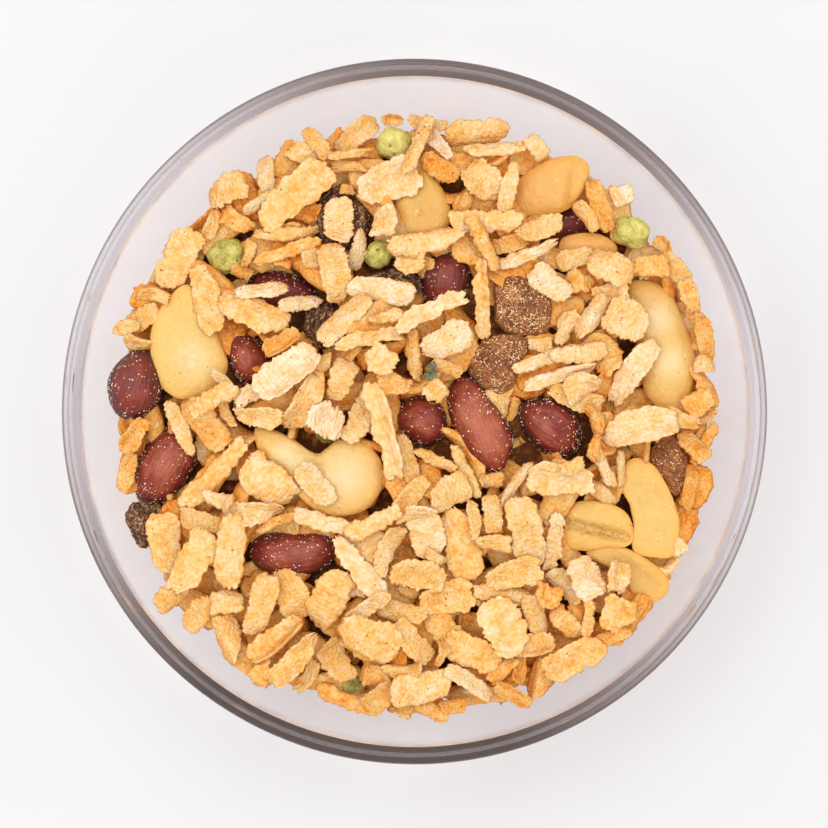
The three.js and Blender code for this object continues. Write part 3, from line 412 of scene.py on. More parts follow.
class StageSettings(bpy.types.PropertyGroup):
    """Light, table and camera."""

    camera_height: FloatProperty(
        name="Camera height", description="Camera above the rim", default=0.45, unit="LENGTH")
    key_power: FloatProperty(
        name="Key light", description="Power of the wide soft light", default=6.0, unit="POWER")
    sky: FloatProperty(
        name="Sky", description="Strength of the surrounding light", default=0.9, min=0)
    table: colour_property("Table", "Pale table under the bowl", (0.66, 0.664, 0.68))


SETTING_GROUPS = {
    "snack_bowl": BowlSizes,
    "snack_heap": HeapSizes,
    "snack_colours": MixColours,
    "snack_stage": StageSettings,
}


# Small helpers for nodes, meshes and pieces


def add_node(tree, kind, values=None, **settings):
    """Adds a node; a value that is a socket is linked, any other is set on the input."""
    node = tree.nodes.new(kind)
    for key, value in settings.items():
        setattr(node, key, value)
    for key, value in (values or {}).items():
        if isinstance(value, bpy.types.NodeSocket):
            tree.links.new(value, node.inputs[key])
        else:
            node.inputs[key].default_value = value
    return node


def calculate(tree, operation, first, second=0.0, clamp=False):
    node = add_node(tree, "ShaderNodeMath", {0: first, 1: second}, operation=operation, use_clamp=clamp)
    return node.outputs[0]


def new_group(name, kind, inputs, outputs):
    """A node group with named sockets. Inputs are (name, type, default)."""
    tree = bpy.data.node_groups.new(name, kind)
    for label, socket, default in inputs:
        item = tree.interface.new_socket(name=label, in_out="INPUT", socket_type=socket)
        if default is not None:
            item.default_value = default
    for label, socket in outputs:
        tree.interface.new_socket(name=label, in_out="OUTPUT", socket_type=socket)
    return tree, add_node(tree, "NodeGroupInput").outputs, add_node(tree, "NodeGroupOutput").inputs


def link_object(obj):
    bpy.context.scene.collection.objects.link(obj)
    return obj


def mesh_from_arrays(name, points, faces, attributes=None):
    """A smooth mesh from points in millimetres, with float or vector values stored at its points."""
    mesh = bpy.data.meshes.new(name)
    mesh.from_pydata((np.asarray(points) * MM).tolist(), [], np.asarray(faces).tolist())
    for label, values in (attributes or {}).items():
        values = np.asarray(values, dtype=np.float32)
        kind, field = ("FLOAT", "value") if values.ndim == 1 else ("FLOAT_VECTOR", "vector")
        mesh.attributes.new(label, kind, "POINT").data.foreach_set(field, values.ravel())
    mesh.polygons.foreach_set("use_smooth", np.ones(len(mesh.polygons), dtype=bool))
    mesh.update()
    return mesh


def grow(name, base, tree, values):
    """Runs a geometry tree on a base mesh and keeps the result as a plain mesh on a new object."""
    holder = link_object(bpy.data.objects.new(name, base))
    modifier = holder.modifiers.new("Grow", "NODES")
    modifier.node_group = tree
    for item in tree.interface.items_tree:
        if item.item_type == "SOCKET" and item.in_out == "INPUT" and item.name in values:
            modifier[item.identifier] = values[item.name]
    depsgraph = bpy.context.evaluated_depsgraph_get()
    made = bpy.data.meshes.new_from_object(
        holder.evaluated_get(depsgraph), preserve_all_data_layers=True, depsgraph=depsgraph)
    holder.modifiers.remove(modifier)
    holder.data = made
    if not made.polygons:
        raise RuntimeError(f"{name} came out empty")
    made.polygons.foreach_set("use_smooth", np.ones(len(made.polygons), dtype=bool))
    return holder


def face_outwards(mesh):
    """Turns a closed mesh the right way round."""
    shell = bmesh.new()
    shell.from_mesh(mesh)
    if shell.calc_volume(signed=True) < 0:
        bmesh.ops.reverse_faces(shell, faces=shell.faces)
        shell.to_mesh(mesh)
    shell.free()


def enter_piece(obj, slot, *nodes):
    """Makes a finished object a piece of the part."""
    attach(obj, "root")
    if nodes:
        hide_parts(*nodes)
    return obj


def quadratic(start, middle, end, count):
    """Points along a curve that starts and ends at two points and is drawn towards a third."""
    share = np.linspace(0, 1, count)[:, None]
    start, middle, end = (np.asarray(p, dtype=float) for p in (start, middle, end))
    return (1 - share) ** 2 * start + 2 * share * (1 - share) * middle + share ** 2 * end


def inner_wall(sizes, count):
    """Radius and height in millimetres up the inside wall of the bowl."""
    rim = np.array([sizes.rim_radius - sizes.rim_thickness, sizes.height - sizes.rim_thickness / 2])
    foot = (sizes.floor_radius, sizes.floor_thickness)
    return quadratic(foot, sizes.inner_bulge, rim, count) / MM


def inner_radius_at(sizes, height):
    wall = inner_wall(sizes, 200)
    return np.interp(height, wall[:, 1], wall[:, 0])


def heap_height(heap, radius):
    """Height in millimetres of the heap's surface at a distance from the middle."""
    share = radius * MM / heap.radius
    return (heap.edge_height + heap.crown * (1 - share * share)) / MM


# Shader groups that more than one finish uses


def pebbled_crust():
    """Rounded grains set close together: their height, and the seams between them."""
    name = "Pebbled crust"
    if name in bpy.data.node_groups:
        return bpy.data.node_groups[name]
    tree, given, result = new_group(name, "ShaderNodeTree", [
        ("Vector", "NodeSocketVector", None),
        ("Grain Size", "NodeSocketFloat", 0.001),
        ("Unevenness", "NodeSocketFloat", 1.0),
    ], [("Height", "NodeSocketFloat"), ("Seam", "NodeSocketFloat")])
    fine = calculate(tree, "DIVIDE", 1.0, given["Grain Size"])
    wobble = add_node(tree, "ShaderNodeTexNoise", {
        "Vector": given["Vector"], "Scale": calculate(tree, "MULTIPLY", fine, 0.6), "Detail": 2.0})
    shift = add_node(tree, "ShaderNodeVectorMath", {0: wobble.outputs["Color"]}, operation="SCALE")
    drift = calculate(tree, "MULTIPLY", given["Unevenness"], 0.8)
    tree.links.new(calculate(tree, "MULTIPLY", given["Grain Size"], drift), shift.inputs["Scale"])
    moved = add_node(tree, "ShaderNodeVectorMath", {0: given["Vector"], 1: shift.outputs[0]})
    cells = add_node(tree, "ShaderNodeTexVoronoi", {
        "Vector": moved.outputs[0], "Scale": fine, "Randomness": given["Unevenness"]})
    dust = add_node(tree, "ShaderNodeTexNoise", {
        "Vector": given["Vector"], "Scale": calculate(tree, "MULTIPLY", fine, 2.6), "Detail": 2.0})
    seam = add_node(tree, "ShaderNodeMapRange", {
        "Value": cells.outputs["Distance"], "From Min": 0.3, "From Max": 0.72},
        interpolation_type="SMOOTHSTEP")
    dome = calculate(tree, "SUBTRACT", 1.0, calculate(tree, "POWER", cells.outputs["Distance"], 1.8))
    tree.links.new(
        calculate(tree, "ADD", dome, calculate(tree, "MULTIPLY", dust.outputs[0], 0.4)), result["Height"])
    tree.links.new(seam.outputs[0], result["Seam"])
    return tree


def seasoning_specks():
    """Scattered specks of spice: one mask for dark ones and one for red ones."""
    name = "Seasoning specks"
    if name in bpy.data.node_groups:
        return bpy.data.node_groups[name]
    tree, given, result = new_group(name, "ShaderNodeTree", [
        ("Vector", "NodeSocketVector", None),
        ("Spacing", "NodeSocketFloat", 0.0008),
        ("Amount", "NodeSocketFloat", 0.3),
    ], [("Dark", "NodeSocketFloat"), ("Red", "NodeSocketFloat")])
    fine = calculate(tree, "DIVIDE", 1.0, given["Spacing"])
    cells = add_node(tree, "ShaderNodeTexVoronoi", {"Vector": given["Vector"], "Scale": fine})
    draw = add_node(tree, "ShaderNodeSeparateColor", {0: cells.outputs["Color"]})
    size = add_node(tree, "ShaderNodeMapRange", {
        "Value": draw.outputs[2], "To Min": 0.05, "To Max": 0.15})
    near = add_node(tree, "ShaderNodeMath", {
        0: size.outputs[0], 1: cells.outputs["Distance"]}, operation="SUBTRACT")
    spot = calculate(tree, "MULTIPLY", near.outputs[0], 16.0, clamp=True)
    chosen = calculate(tree, "LESS_THAN", draw.outputs[0], given["Amount"])
    speck = calculate(tree, "MULTIPLY", spot, chosen)
    red = calculate(tree, "GREATER_THAN", draw.outputs[1], 0.62)
    tree.links.new(calculate(tree, "MULTIPLY", speck, calculate(tree, "SUBTRACT", 1.0, red)), result["Dark"])
    tree.links.new(calculate(tree, "MULTIPLY", speck, red), result["Red"])
    return tree


def uneven_tone():
    """A slow wander from 0 to 1, with a finer one on it."""
    name = "Uneven tone"
    if name in bpy.data.node_groups:
        return bpy.data.node_groups[name]
    tree, given, result = new_group(name, "ShaderNodeTree", [
        ("Vector", "NodeSocketVector", None),
        ("Patch Size", "NodeSocketFloat", 0.004),
    ], [("Tone", "NodeSocketFloat")])
    scale = calculate(tree, "DIVIDE", 1.0, given["Patch Size"])
    wander = add_node(tree, "ShaderNodeTexNoise", {
        "Vector": given["Vector"], "Scale": scale, "Detail": 4.0, "Roughness": 0.62})
    spread = add_node(tree, "ShaderNodeMapRange", {
        "Value": wander.outputs[0], "From Min": 0.3, "From Max": 0.7}, interpolation_type="SMOOTHSTEP")
    tree.links.new(spread.outputs[0], result["Tone"])
    return tree


# Finishes


def new_finish(name):
    """An empty material with its shader, and the place of a point on the piece."""
    finish = bpy.data.materials.new(name)
    finish.use_nodes = True
    tree = finish.node_tree
    tree.nodes.clear()
    shader = add_node(tree, "ShaderNodeBsdfPrincipled")
    output = add_node(tree, "ShaderNodeOutputMaterial", {"Surface": shader.outputs[0]})
    place = add_node(tree, "ShaderNodeTexCoord").outputs["Object"]
    return finish, tree, shader, output, place


def use_group(tree, group, values):
    node = add_node(tree, "ShaderNodeGroup", node_tree=group)
    for key, value in values.items():
        if isinstance(value, bpy.types.NodeSocket):
            tree.links.new(value, node.inputs[key])
        else:
            node.inputs[key].default_value = value
    return node.outputs


def stored(tree, label):
    return add_node(tree, "ShaderNodeAttribute", attribute_name=label).outputs


def ramp(tree, factor, stops):
    """A colour ramp from (position, colour) stops."""
    node = add_node(tree, "ShaderNodeValToRGB", {0: factor})
    elements = node.color_ramp.elements
    while len(elements) < len(stops):
        elements.new(0.5)
    for element, (position, colour) in zip(elements, stops):
        element.position = position
        element.color = (*colour, 1)
    return node.outputs[0]


def tint(tree, factor, base, colour, blend="MIX"):
    node = add_node(tree, "ShaderNodeMix", data_type="RGBA", blend_type=blend)
    for key, value in {0: factor, 6: base, 7: colour}.items():
        if isinstance(value, bpy.types.NodeSocket):
            tree.links.new(value, node.inputs[key])
        else:
            node.inputs[key].default_value = value if key == 0 else (*value, 1)
    return node.outputs[2]


def raise_relief(tree, shader, height, depth, strength=1.0, rim=None):
    """Bumps a surface, with its normals turned up towards a rim, as thin rims let light through."""
    bump = add_node(tree, "ShaderNodeBump", {"Height": height, "Distance": depth, "Strength": strength})
    if rim is not None:
        normal = add_node(tree, "ShaderNodeNewGeometry").outputs["Normal"]
        lift = add_node(tree, "ShaderNodeCombineXYZ", {2: rim}).outputs[0]
        turned = add_node(tree, "ShaderNodeVectorMath", {0: normal, 1: lift}).outputs[0]
        even = add_node(tree, "ShaderNodeVectorMath", {0: turned}, operation="NORMALIZE").outputs[0]
        tree.links.new(even, bump.inputs["Normal"])
    tree.links.new(bump.outputs[0], shader.inputs["Normal"])


def shade(colour, share):
    return tuple(channel * share for channel in colour)


def flake_finish(colours, name="Toasted flake", painted_shade=0.0, light=1.0):
    finish, tree, shader, _, place = new_finish(name)
    own_place = stored(tree, "own_place")["Vector"]
    crust = use_group(tree, pebbled_crust(), {"Vector": own_place, "Grain Size": 0.66, "Unevenness": 0.72})
    tone = use_group(tree, uneven_tone(), {"Vector": place, "Patch Size": 0.0024})["Tone"]
    aside = add_node(tree, "ShaderNodeVectorMath", {0: place, 1: (0.31, 0.17, 0.23)}).outputs[0]
    patch = use_group(tree, uneven_tone(), {"Vector": aside, "Patch Size": 0.0017})["Tone"]
    specks = use_group(tree, seasoning_specks(), {"Vector": place, "Spacing": 0.0006, "Amount": 0.48})
    own = stored(tree, "tone")["Fac"]
    edge = stored(tree, "edge")["Fac"]
    lump = stored(tree, "lump")["Fac"]
    # Raised lumps and the thin rim are painted paler and the seams between grains darker: painted light and
    # shade on the grains.
    level = calculate(tree, "MULTIPLY", own, 0.7)
    level = calculate(tree, "ADD", level, calculate(tree, "MULTIPLY", tone, 0.28))
    level = calculate(tree, "ADD", level, calculate(tree, "MULTIPLY", lump, 0.2))
    level = calculate(tree, "ADD", level, calculate(tree, "MULTIPLY", edge, 0.04))
    level = calculate(tree, "SUBTRACT", level, calculate(tree, "MULTIPLY", crust["Seam"], 0.15))
    # Copies of this finish for lower flakes and the core are darkened here and by the light share in the
    # ramp: painted shade.
    level = calculate(tree, "SUBTRACT", level, painted_shade + 0.03, clamp=True)
    colour = ramp(tree, level, [
        (0.0, shade((0.57, 0.15, 0.014), light)), (0.2, shade(colours.flake_toast, light)),
        (0.48, shade(colours.flake_gold, light)), (0.8, shade(colours.flake_cream, light)),
        (1.0, shade(colours.flake_pale, light))])
    powder = add_node(tree, "ShaderNodeMapRange", {
        "Value": patch, "From Min": 0.5, "From Max": 0.95, "To Max": 0.32})
    colour = tint(tree, powder.outputs[0], colour, tuple(colours.flake_powder))
    # Faces that turn away from up are painted a darker orange: painted warm shade, standing in for light that
    # thin flakes let through into their shade.
    upright = add_node(
        tree, "ShaderNodeSeparateXYZ", {0: add_node(tree, "ShaderNodeNewGeometry").outputs["Normal"]})
    flank = add_node(tree, "ShaderNodeMapRange", {
        "Value": upright.outputs[2], "From Min": 0.85, "From Max": 0.1, "To Max": 0.9})
    colour = tint(tree, flank.outputs[0], colour, (1.0, 0.68, 0.37), "MULTIPLY")
    colour = tint(tree, calculate(tree, "MULTIPLY", specks["Red"], 0.75), colour, (0.36, 0.075, 0.022))
    colour = tint(tree, calculate(tree, "MULTIPLY", specks["Dark"], 0.8), colour, (0.055, 0.026, 0.012))
    tree.links.new(colour, shader.inputs["Base Color"])
    shader.inputs["Roughness"].default_value = 0.68
    shader.inputs["Specular IOR Level"].default_value = 0.2
    raise_relief(tree, shader, crust["Height"], 0.0004, 0.7, edge)
    return finish


def cashew_finish(colours):
    finish, tree, shader, _, place = new_finish("Cashew flesh")
    tone = use_group(tree, uneven_tone(), {"Vector": place, "Patch Size": 0.006})["Tone"]
    mottle = use_group(tree, uneven_tone(), {"Vector": place, "Patch Size": 0.0011})["Tone"]
    specks = use_group(tree, seasoning_specks(), {"Vector": place, "Spacing": 0.0011, "Amount": 0.5})
    rim = stored(tree, "edge")["Fac"]
    level = calculate(tree, "MULTIPLY", stored(tree, "tone")["Fac"], 0.85)
    level = calculate(tree, "ADD", level, calculate(tree, "MULTIPLY", tone, 0.22))
    level = calculate(tree, "ADD", level, calculate(tree, "MULTIPLY", mottle, 0.24))
    level = calculate(tree, "SUBTRACT", level, 0.12, clamp=True)
    colour = ramp(tree, level, [
        (0.05, tuple(colours.cashew_pale)), (0.55, tuple(colours.cashew_gold)),
        (1.0, tuple(colours.cashew_toast))])
    # The rim is tinted orange: painted warm shade where the surface turns away from the light.
    colour = tint(tree, calculate(tree, "MULTIPLY", rim, 0.75), colour, (0.86, 0.41, 0.065))
    # Pale patches on the nut: partly paler flesh, partly a painted highlight.
    colour = tint(
        tree, calculate(tree, "MULTIPLY", stored(tree, "pale")["Fac"], 0.7), colour, (0.88, 0.68, 0.42))
    crumbs = add_node(tree, "ShaderNodeTexNoise", {"Vector": place, "Scale": 2200.0, "Detail": 2.0})
    gritty = add_node(
        tree, "ShaderNodeMapRange", {"Value": crumbs.outputs[0], "From Min": 0.45, "From Max": 0.6})
    cleft = calculate(tree, "MULTIPLY", stored(tree, "cleft")["Fac"], gritty.outputs[0])
    colour = tint(tree, calculate(tree, "MULTIPLY", cleft, 0.6), colour, (0.30, 0.12, 0.055))
    colour = tint(tree, calculate(tree, "MULTIPLY", specks["Red"], 0.6), colour, (0.42, 0.13, 0.04))
    colour = tint(tree, calculate(tree, "MULTIPLY", specks["Dark"], 0.75), colour, (0.10, 0.05, 0.02))
    tree.links.new(colour, shader.inputs["Base Color"])
    shader.inputs["Roughness"].default_value = 0.44
    shader.inputs["Subsurface Weight"].default_value = 0.35
    shader.inputs["Subsurface Radius"].default_value = (1.0, 0.6, 0.25)
    shader.inputs["Subsurface Scale"].default_value = 0.002
    grain = add_node(
        tree, "ShaderNodeTexNoise", {"Vector": place, "Scale": 1100.0, "Detail": 4.0, "Roughness": 0.65})
    raise_relief(tree, shader, grain.outputs[0], 0.0005, 0.8, calculate(tree, "MULTIPLY", rim, 0.8))
    return finish


def peanut_finish(colours):
    finish, tree, shader, _, place = new_finish("Peanut skin")
    along = add_node(tree, "ShaderNodeVectorMath", {
        0: stored(tree, "own_place")["Vector"], 1: (0.16, 1.0, 1.0)}, operation="MULTIPLY").outputs[0]
    veins = add_node(tree, "ShaderNodeTexNoise", {
        "Vector": along, "Scale": 1.5, "Detail": 4.0, "Roughness": 0.6, "Distortion": 0.5})
    tone = use_group(tree, uneven_tone(), {"Vector": place, "Patch Size": 0.0032})["Tone"]
    end = stored(tree, "edge")["Fac"]
    level = calculate(tree, "MULTIPLY", veins.outputs[0], 0.45)
    level = calculate(tree, "ADD", level, calculate(tree, "MULTIPLY", tone, 0.24))
    level = calculate(tree, "ADD", level, calculate(tree, "MULTIPLY", stored(tree, "tone")["Fac"], 0.45))
    # The outline is painted darker, towards the dark skin colour: painted shade where the skin turns away
    # from the light.
    level = calculate(tree, "SUBTRACT", level, calculate(tree, "MULTIPLY", end, 0.55), clamp=True)
    colour = ramp(tree, level, [
        (0.12, tuple(colours.peanut_dark)), (0.48, tuple(colours.peanut_red)),
        (0.82, tuple(colours.peanut_pale))])
    tree.links.new(colour, shader.inputs["Base Color"])
    shader.inputs["Roughness"].default_value = 0.36
    shader.inputs["Specular IOR Level"].default_value = 0.42
    creases = add_node(tree, "ShaderNodeTexNoise", {
        "Vector": along, "Scale": 3.4, "Detail": 3.0, "Distortion": 1.2})
    relief = calculate(tree, "ADD", veins.outputs[0], calculate(tree, "MULTIPLY", creases.outputs[0], 0.5))
    raise_relief(tree, shader, relief, 0.0006, 0.5)
    return finish


def raisin_finish(name, colour, painted_light_colour, roughness, gloss, wrinkled):
    finish, tree, shader, _, place = new_finish(name)
    tone = use_group(tree, uneven_tone(), {"Vector": place, "Patch Size": 0.0026})["Tone"]
    crust = use_group(tree, pebbled_crust(), {"Vector": place, "Grain Size": 0.0006})
    lump = stored(tree, "lump")["Fac"]
    wrinkles = add_node(tree, "ShaderNodeTexNoise", {
        "Vector": place, "Scale": 1700.0, "Detail": 3.0, "Roughness": 0.6, "Distortion": 0.5},
        noise_type="RIDGED_MULTIFRACTAL")
    fine = add_node(tree, "ShaderNodeMapRange", {
        "Value": wrinkles.outputs[0], "From Min": 0.0, "From Max": 0.18}).outputs[0]
    # Lumps and ridges are painted lighter and hollows darker: painted glints on the ridges and painted shade
    # in the folds.
    level = calculate(
        tree, "ADD", calculate(tree, "MULTIPLY", tone, 0.4), calculate(tree, "MULTIPLY", lump, 0.4))
    level = calculate(tree, "ADD", level, calculate(tree, "MULTIPLY", fine, wrinkled))
    level = calculate(tree, "SUBTRACT", level, calculate(tree, "MULTIPLY", crust["Seam"], 0.12), clamp=True)
    shown = ramp(tree, level, [(0.0, shade(colour, 0.3)), (0.45, tuple(colour)), (0.95, painted_light_colour)])
    # The rim is painted in a lighter colour: painted light shining through the thin rim, which only the
    # golden raisins have.
    shown = tint(tree, stored(tree, "edge")["Fac"], shown, shade(painted_light_colour, 0.8))
    tree.links.new(shown, shader.inputs["Base Color"])
    shader.inputs["Roughness"].default_value = roughness
    shader.inputs["Specular IOR Level"].default_value = gloss
    relief = calculate(tree, "ADD", crust["Height"], calculate(tree, "MULTIPLY", fine, 2.0 * wrinkled))
    raise_relief(tree, shader, relief, 0.0003, 0.8)
    return finish


def leaf_finish():
    finish, tree, shader, _, place = new_finish("Dried leaf")
    tone = use_group(tree, uneven_tone(), {"Vector": place, "Patch Size": 0.0008})["Tone"]
    colour = ramp(tree, tone, [(0.1, (0.07, 0.065, 0.03)), (0.8, (0.21, 0.20, 0.10))])
    tree.links.new(colour, shader.inputs["Base Color"])
    shader.inputs["Roughness"].default_value = 0.75
    return finish


def pea_finish(colours):
    finish, tree, shader, _, place = new_finish("Puffed pea")
    crust = use_group(tree, pebbled_crust(), {"Vector": place, "Grain Size": 0.0005})
    tone = use_group(tree, uneven_tone(), {"Vector": place, "Patch Size": 0.0018})["Tone"]
    own = stored(tree, "tone")["Fac"]
    lump = stored(tree, "lump")["Fac"]
    # Raised lumps are painted paler, and the seams between grains and the pits darker: painted light and
    # shade.
    level = calculate(
        tree, "ADD", calculate(tree, "MULTIPLY", own, 0.4), calculate(tree, "MULTIPLY", tone, 0.3))
    level = calculate(tree, "ADD", level, calculate(tree, "MULTIPLY", lump, 0.3))
    level = calculate(tree, "SUBTRACT", level, calculate(tree, "MULTIPLY", crust["Seam"], 0.1))
    level = calculate(
        tree, "SUBTRACT", level, calculate(tree, "MULTIPLY", stored(tree, "pit")["Fac"], 0.8), clamp=True)
    green = tuple(colours.pea_green)
    colour = ramp(tree, level, [
        (0.0, shade(green, 0.3)), (0.4, green), (0.9, tuple(colours.pea_pale))])
    tree.links.new(colour, shader.inputs["Base Color"])
    shader.inputs["Roughness"].default_value = 0.7
    raise_relief(tree, shader, crust["Height"], 0.00022, 0.7)
    return finish


def grain_finish(name, pale, deep, roughness):
    finish, tree, shader, _, place = new_finish(name)
    tone = use_group(tree, uneven_tone(), {"Vector": place, "Patch Size": 0.0012})["Tone"]
    tree.links.new(ramp(tree, tone, [(0.2, deep), (0.75, pale)]), shader.inputs["Base Color"])
    shader.inputs["Roughness"].default_value = roughness
    return finish


def glass_finish():
    """Clear glass that lets light through to the food; light that runs on inside the wall turns grey. The rim
    has painted reflections: a painted grey glow, painted streaks and painted shade.
    """
    finish, tree, shader, output, place = new_finish("Clear glass")
    shader.inputs["Roughness"].default_value = 0.0
    shader.inputs["IOR"].default_value = 1.5
    shader.inputs["Transmission Weight"].default_value = 0.98
    shader.inputs["Specular IOR Level"].default_value = 0.38
    clear = add_node(tree, "ShaderNodeBsdfTransparent", {"Color": (1.0, 0.99, 0.985, 1)})
    seen = add_node(tree, "ShaderNodeBsdfTransparent", {"Color": (1.0, 0.983, 0.982, 1)})
    ray = add_node(tree, "ShaderNodeLightPath")
    depth = ray.outputs["Ray Depth"]
    inside = add_node(tree, "ShaderNodeNewGeometry").outputs["Backfacing"]
    # Rays that run on inside the wall end on a painted glow in place of what they would reach.
    again = calculate(tree, "MULTIPLY", inside, calculate(tree, "COMPARE", depth, 2.0))
    caught = calculate(tree, "MAXIMUM", again, calculate(tree, "GREATER_THAN", depth, 3.5))
    # The painted glow is grey, lighter or darker by the side of the bowl: a painted reflection of the room.
    across = add_node(tree, "ShaderNodeSeparateXYZ", {0: place}).outputs
    turned = add_node(
        tree, "ShaderNodeVectorMath", {0: place, 1: (18.46, -3.92, 0.0)}, operation="DOT_PRODUCT")
    side = calculate(tree, "POWER", calculate(tree, "ABSOLUTE", turned.outputs["Value"]), 2.0)
    side = calculate(tree, "ADD", side, calculate(tree, "MULTIPLY", across[1], 3.6), clamp=True)
    painted_reflection_colour = ramp(tree, side, [
        (0.0, (0.06, 0.036, 0.032)), (0.3, (0.23, 0.17, 0.165)), (0.75, (0.76, 0.71, 0.74)),
        (1.0, (0.92, 0.89, 0.92))])
    painted_reflection = add_node(tree, "ShaderNodeEmission", {"Color": painted_reflection_colour})
    flat = add_node(
        tree, "ShaderNodeVectorMath", {0: place, 1: (1.0, 1.0, 0.0)}, operation="MULTIPLY").outputs[0]
    radius = add_node(tree, "ShaderNodeVectorMath", {0: flat}, operation="LENGTH").outputs["Value"]
    # Painted streaks run round the rim, with painted shade on its inner band and towards negative x and y.
    rings = add_node(tree, "ShaderNodeTexNoise", {
        "W": calculate(tree, "MULTIPLY", radius, 2600.0), "Detail": 2.0, "Roughness": 0.6},
        noise_dimensions="1D")
    upper = add_node(tree, "ShaderNodeMapRange", {"Value": across[2], "From Min": 0.0485, "From Max": 0.0498})
    painted_rim_colour = ramp(tree, rings.outputs[0], [
        (0.32, (0.5, 0.46, 0.46)), (0.52, (0.97, 0.95, 0.95)), (0.7, (1.0, 1.0, 1.0))])
    inner = ramp(tree, calculate(tree, "MULTIPLY", radius, 10.0), [
        (0.515, (0.0, 0.0, 0.0)), (0.522, (1.0, 1.0, 1.0)), (0.534, (1.0, 1.0, 1.0)),
        (0.539, (0.0, 0.0, 0.0))])
    painted_band_shade = calculate(tree, "MULTIPLY", inner, side)
    painted_rim_colour = tint(tree, painted_band_shade, painted_rim_colour, (0.74, 0.71, 0.72), "MULTIPLY")
    low = add_node(tree, "ShaderNodeVectorMath", {0: place, 1: (-9.2, -21.7, 0.0)}, operation="DOT_PRODUCT")
    lower = calculate(tree, "MULTIPLY", painted_band_shade, calculate(tree, "ADD", low.outputs["Value"], 0.5, clamp=True))
    painted_rim_colour = tint(tree, lower, painted_rim_colour, (0.68, 0.64, 0.64), "MULTIPLY")
    tree.links.new(tint(tree, upper.outputs[0], (1.0, 0.97, 0.962), painted_rim_colour), shader.inputs["Base Color"])
    deep = add_node(tree, "ShaderNodeMixShader", {0: caught, 1: shader.outputs[0], 2: painted_reflection.outputs[0]})
    # Camera rays pass straight through the wall below the rim, and through the rim's outer edge where the
    # painted glow is light, so these show lighter.
    below = add_node(tree, "ShaderNodeMapRange", {
        "Value": across[2], "From Min": 0.0500, "From Max": 0.0480, "To Max": 0.86})
    outer = ramp(tree, calculate(tree, "MULTIPLY", radius, 10.0), [
        (0.536, (0.0, 0.0, 0.0)), (0.5415, (0.62, 0.62, 0.62)), (0.5465, (0.62, 0.62, 0.62)),
        (0.549, (0.0, 0.0, 0.0))])
    outer = calculate(tree, "MULTIPLY", outer, calculate(tree, "POWER", side, 1.5))
    through = calculate(tree, "MAXIMUM", below.outputs[0], outer)
    through = calculate(tree, "MULTIPLY", through, calculate(tree, "LESS_THAN", depth, 0.5))
    wall = add_node(tree, "ShaderNodeMixShader", {0: through, 1: deep.outputs[0], 2: seen.outputs[0]})
    passing = calculate(tree, "MAXIMUM", ray.outputs["Is Shadow Ray"], ray.outputs["Is Diffuse Ray"])
    mix = add_node(tree, "ShaderNodeMixShader", {0: passing, 1: wall.outputs[0], 2: clear.outputs[0]})
    tree.links.new(mix.outputs[0], output.inputs["Surface"])
    return finish


def table_finish(colour):
    """Pale table, a little lighter under and round the bowl, where the glass gathers light: painted light,
    with a painted glow that changes with the side of the bowl and lifts its shadow.
    """
    finish, tree, shader, _, place = new_finish("Pale table")
    tone = use_group(tree, uneven_tone(), {"Vector": place, "Patch Size": 0.09})["Tone"]
    plain = ramp(tree, tone, [(0.0, (0.985, 0.985, 0.985)), (1.0, (1.0, 1.0, 1.0))])
    away = add_node(tree, "ShaderNodeVectorMath", {0: place}, operation="LENGTH").outputs["Value"]
    # Painted light: gains that make the table lighter and bluer near the bowl.
    painted_light_gains = [
        (0.5, (1.1, 1.12, 1.15)), (0.58, (1.04, 1.06, 1.08)), (0.66, (0.97, 0.99, 1.01)),
        (1.0, (1.0, 1.0, 1.0))]
    near = ramp(tree, calculate(tree, "MULTIPLY", away, 10.0), [
        (at, tuple(part * gain for part, gain in zip(colour, gains))) for at, gains in painted_light_gains])
    tree.links.new(tint(tree, 1.0, plain, near, "MULTIPLY"), shader.inputs["Base Color"])
    # A painted glow round the bowl, stronger on some sides, which lifts the bowl's shadow.
    dim = add_node(tree, "ShaderNodeVectorMath", {0: place, 1: (7.2, -5.0, 0.0)}, operation="DOT_PRODUCT")
    ring = ramp(tree, calculate(tree, "MULTIPLY", away, 10.0), [
        (0.5, (0.5, 0.5, 0.5)), (0.585, (1.0, 1.0, 1.0)), (0.64, (0.4, 0.4, 0.4)), (0.72, (0.15, 0.15, 0.15)),
        (0.95, (0.0, 0.0, 0.0))])
    painted_table_emission = ramp(tree, calculate(tree, "ADD", dim.outputs["Value"], 0.5), [
        (0.0, (0.03, 0.045, 0.05)), (0.1, (0.03, 0.04, 0.045)), (0.22, (0.09, 0.1, 0.105)),
        (0.41, (0.1, 0.11, 0.12)), (0.6, (0.02, 0.03, 0.04)), (0.79, (0.1, 0.11, 0.12)),
        (0.92, (0.0, 0.0, 0.0)), (1.0, (0.0, 0.0, 0.0))])
    tree.links.new(tint(tree, 1.0, ring, painted_table_emission, "MULTIPLY"), shader.inputs["Emission Color"])
    shader.inputs["Emission Strength"].default_value = 1.0
    shader.inputs["Roughness"].default_value = 0.6
    return finish


# Geometry trees


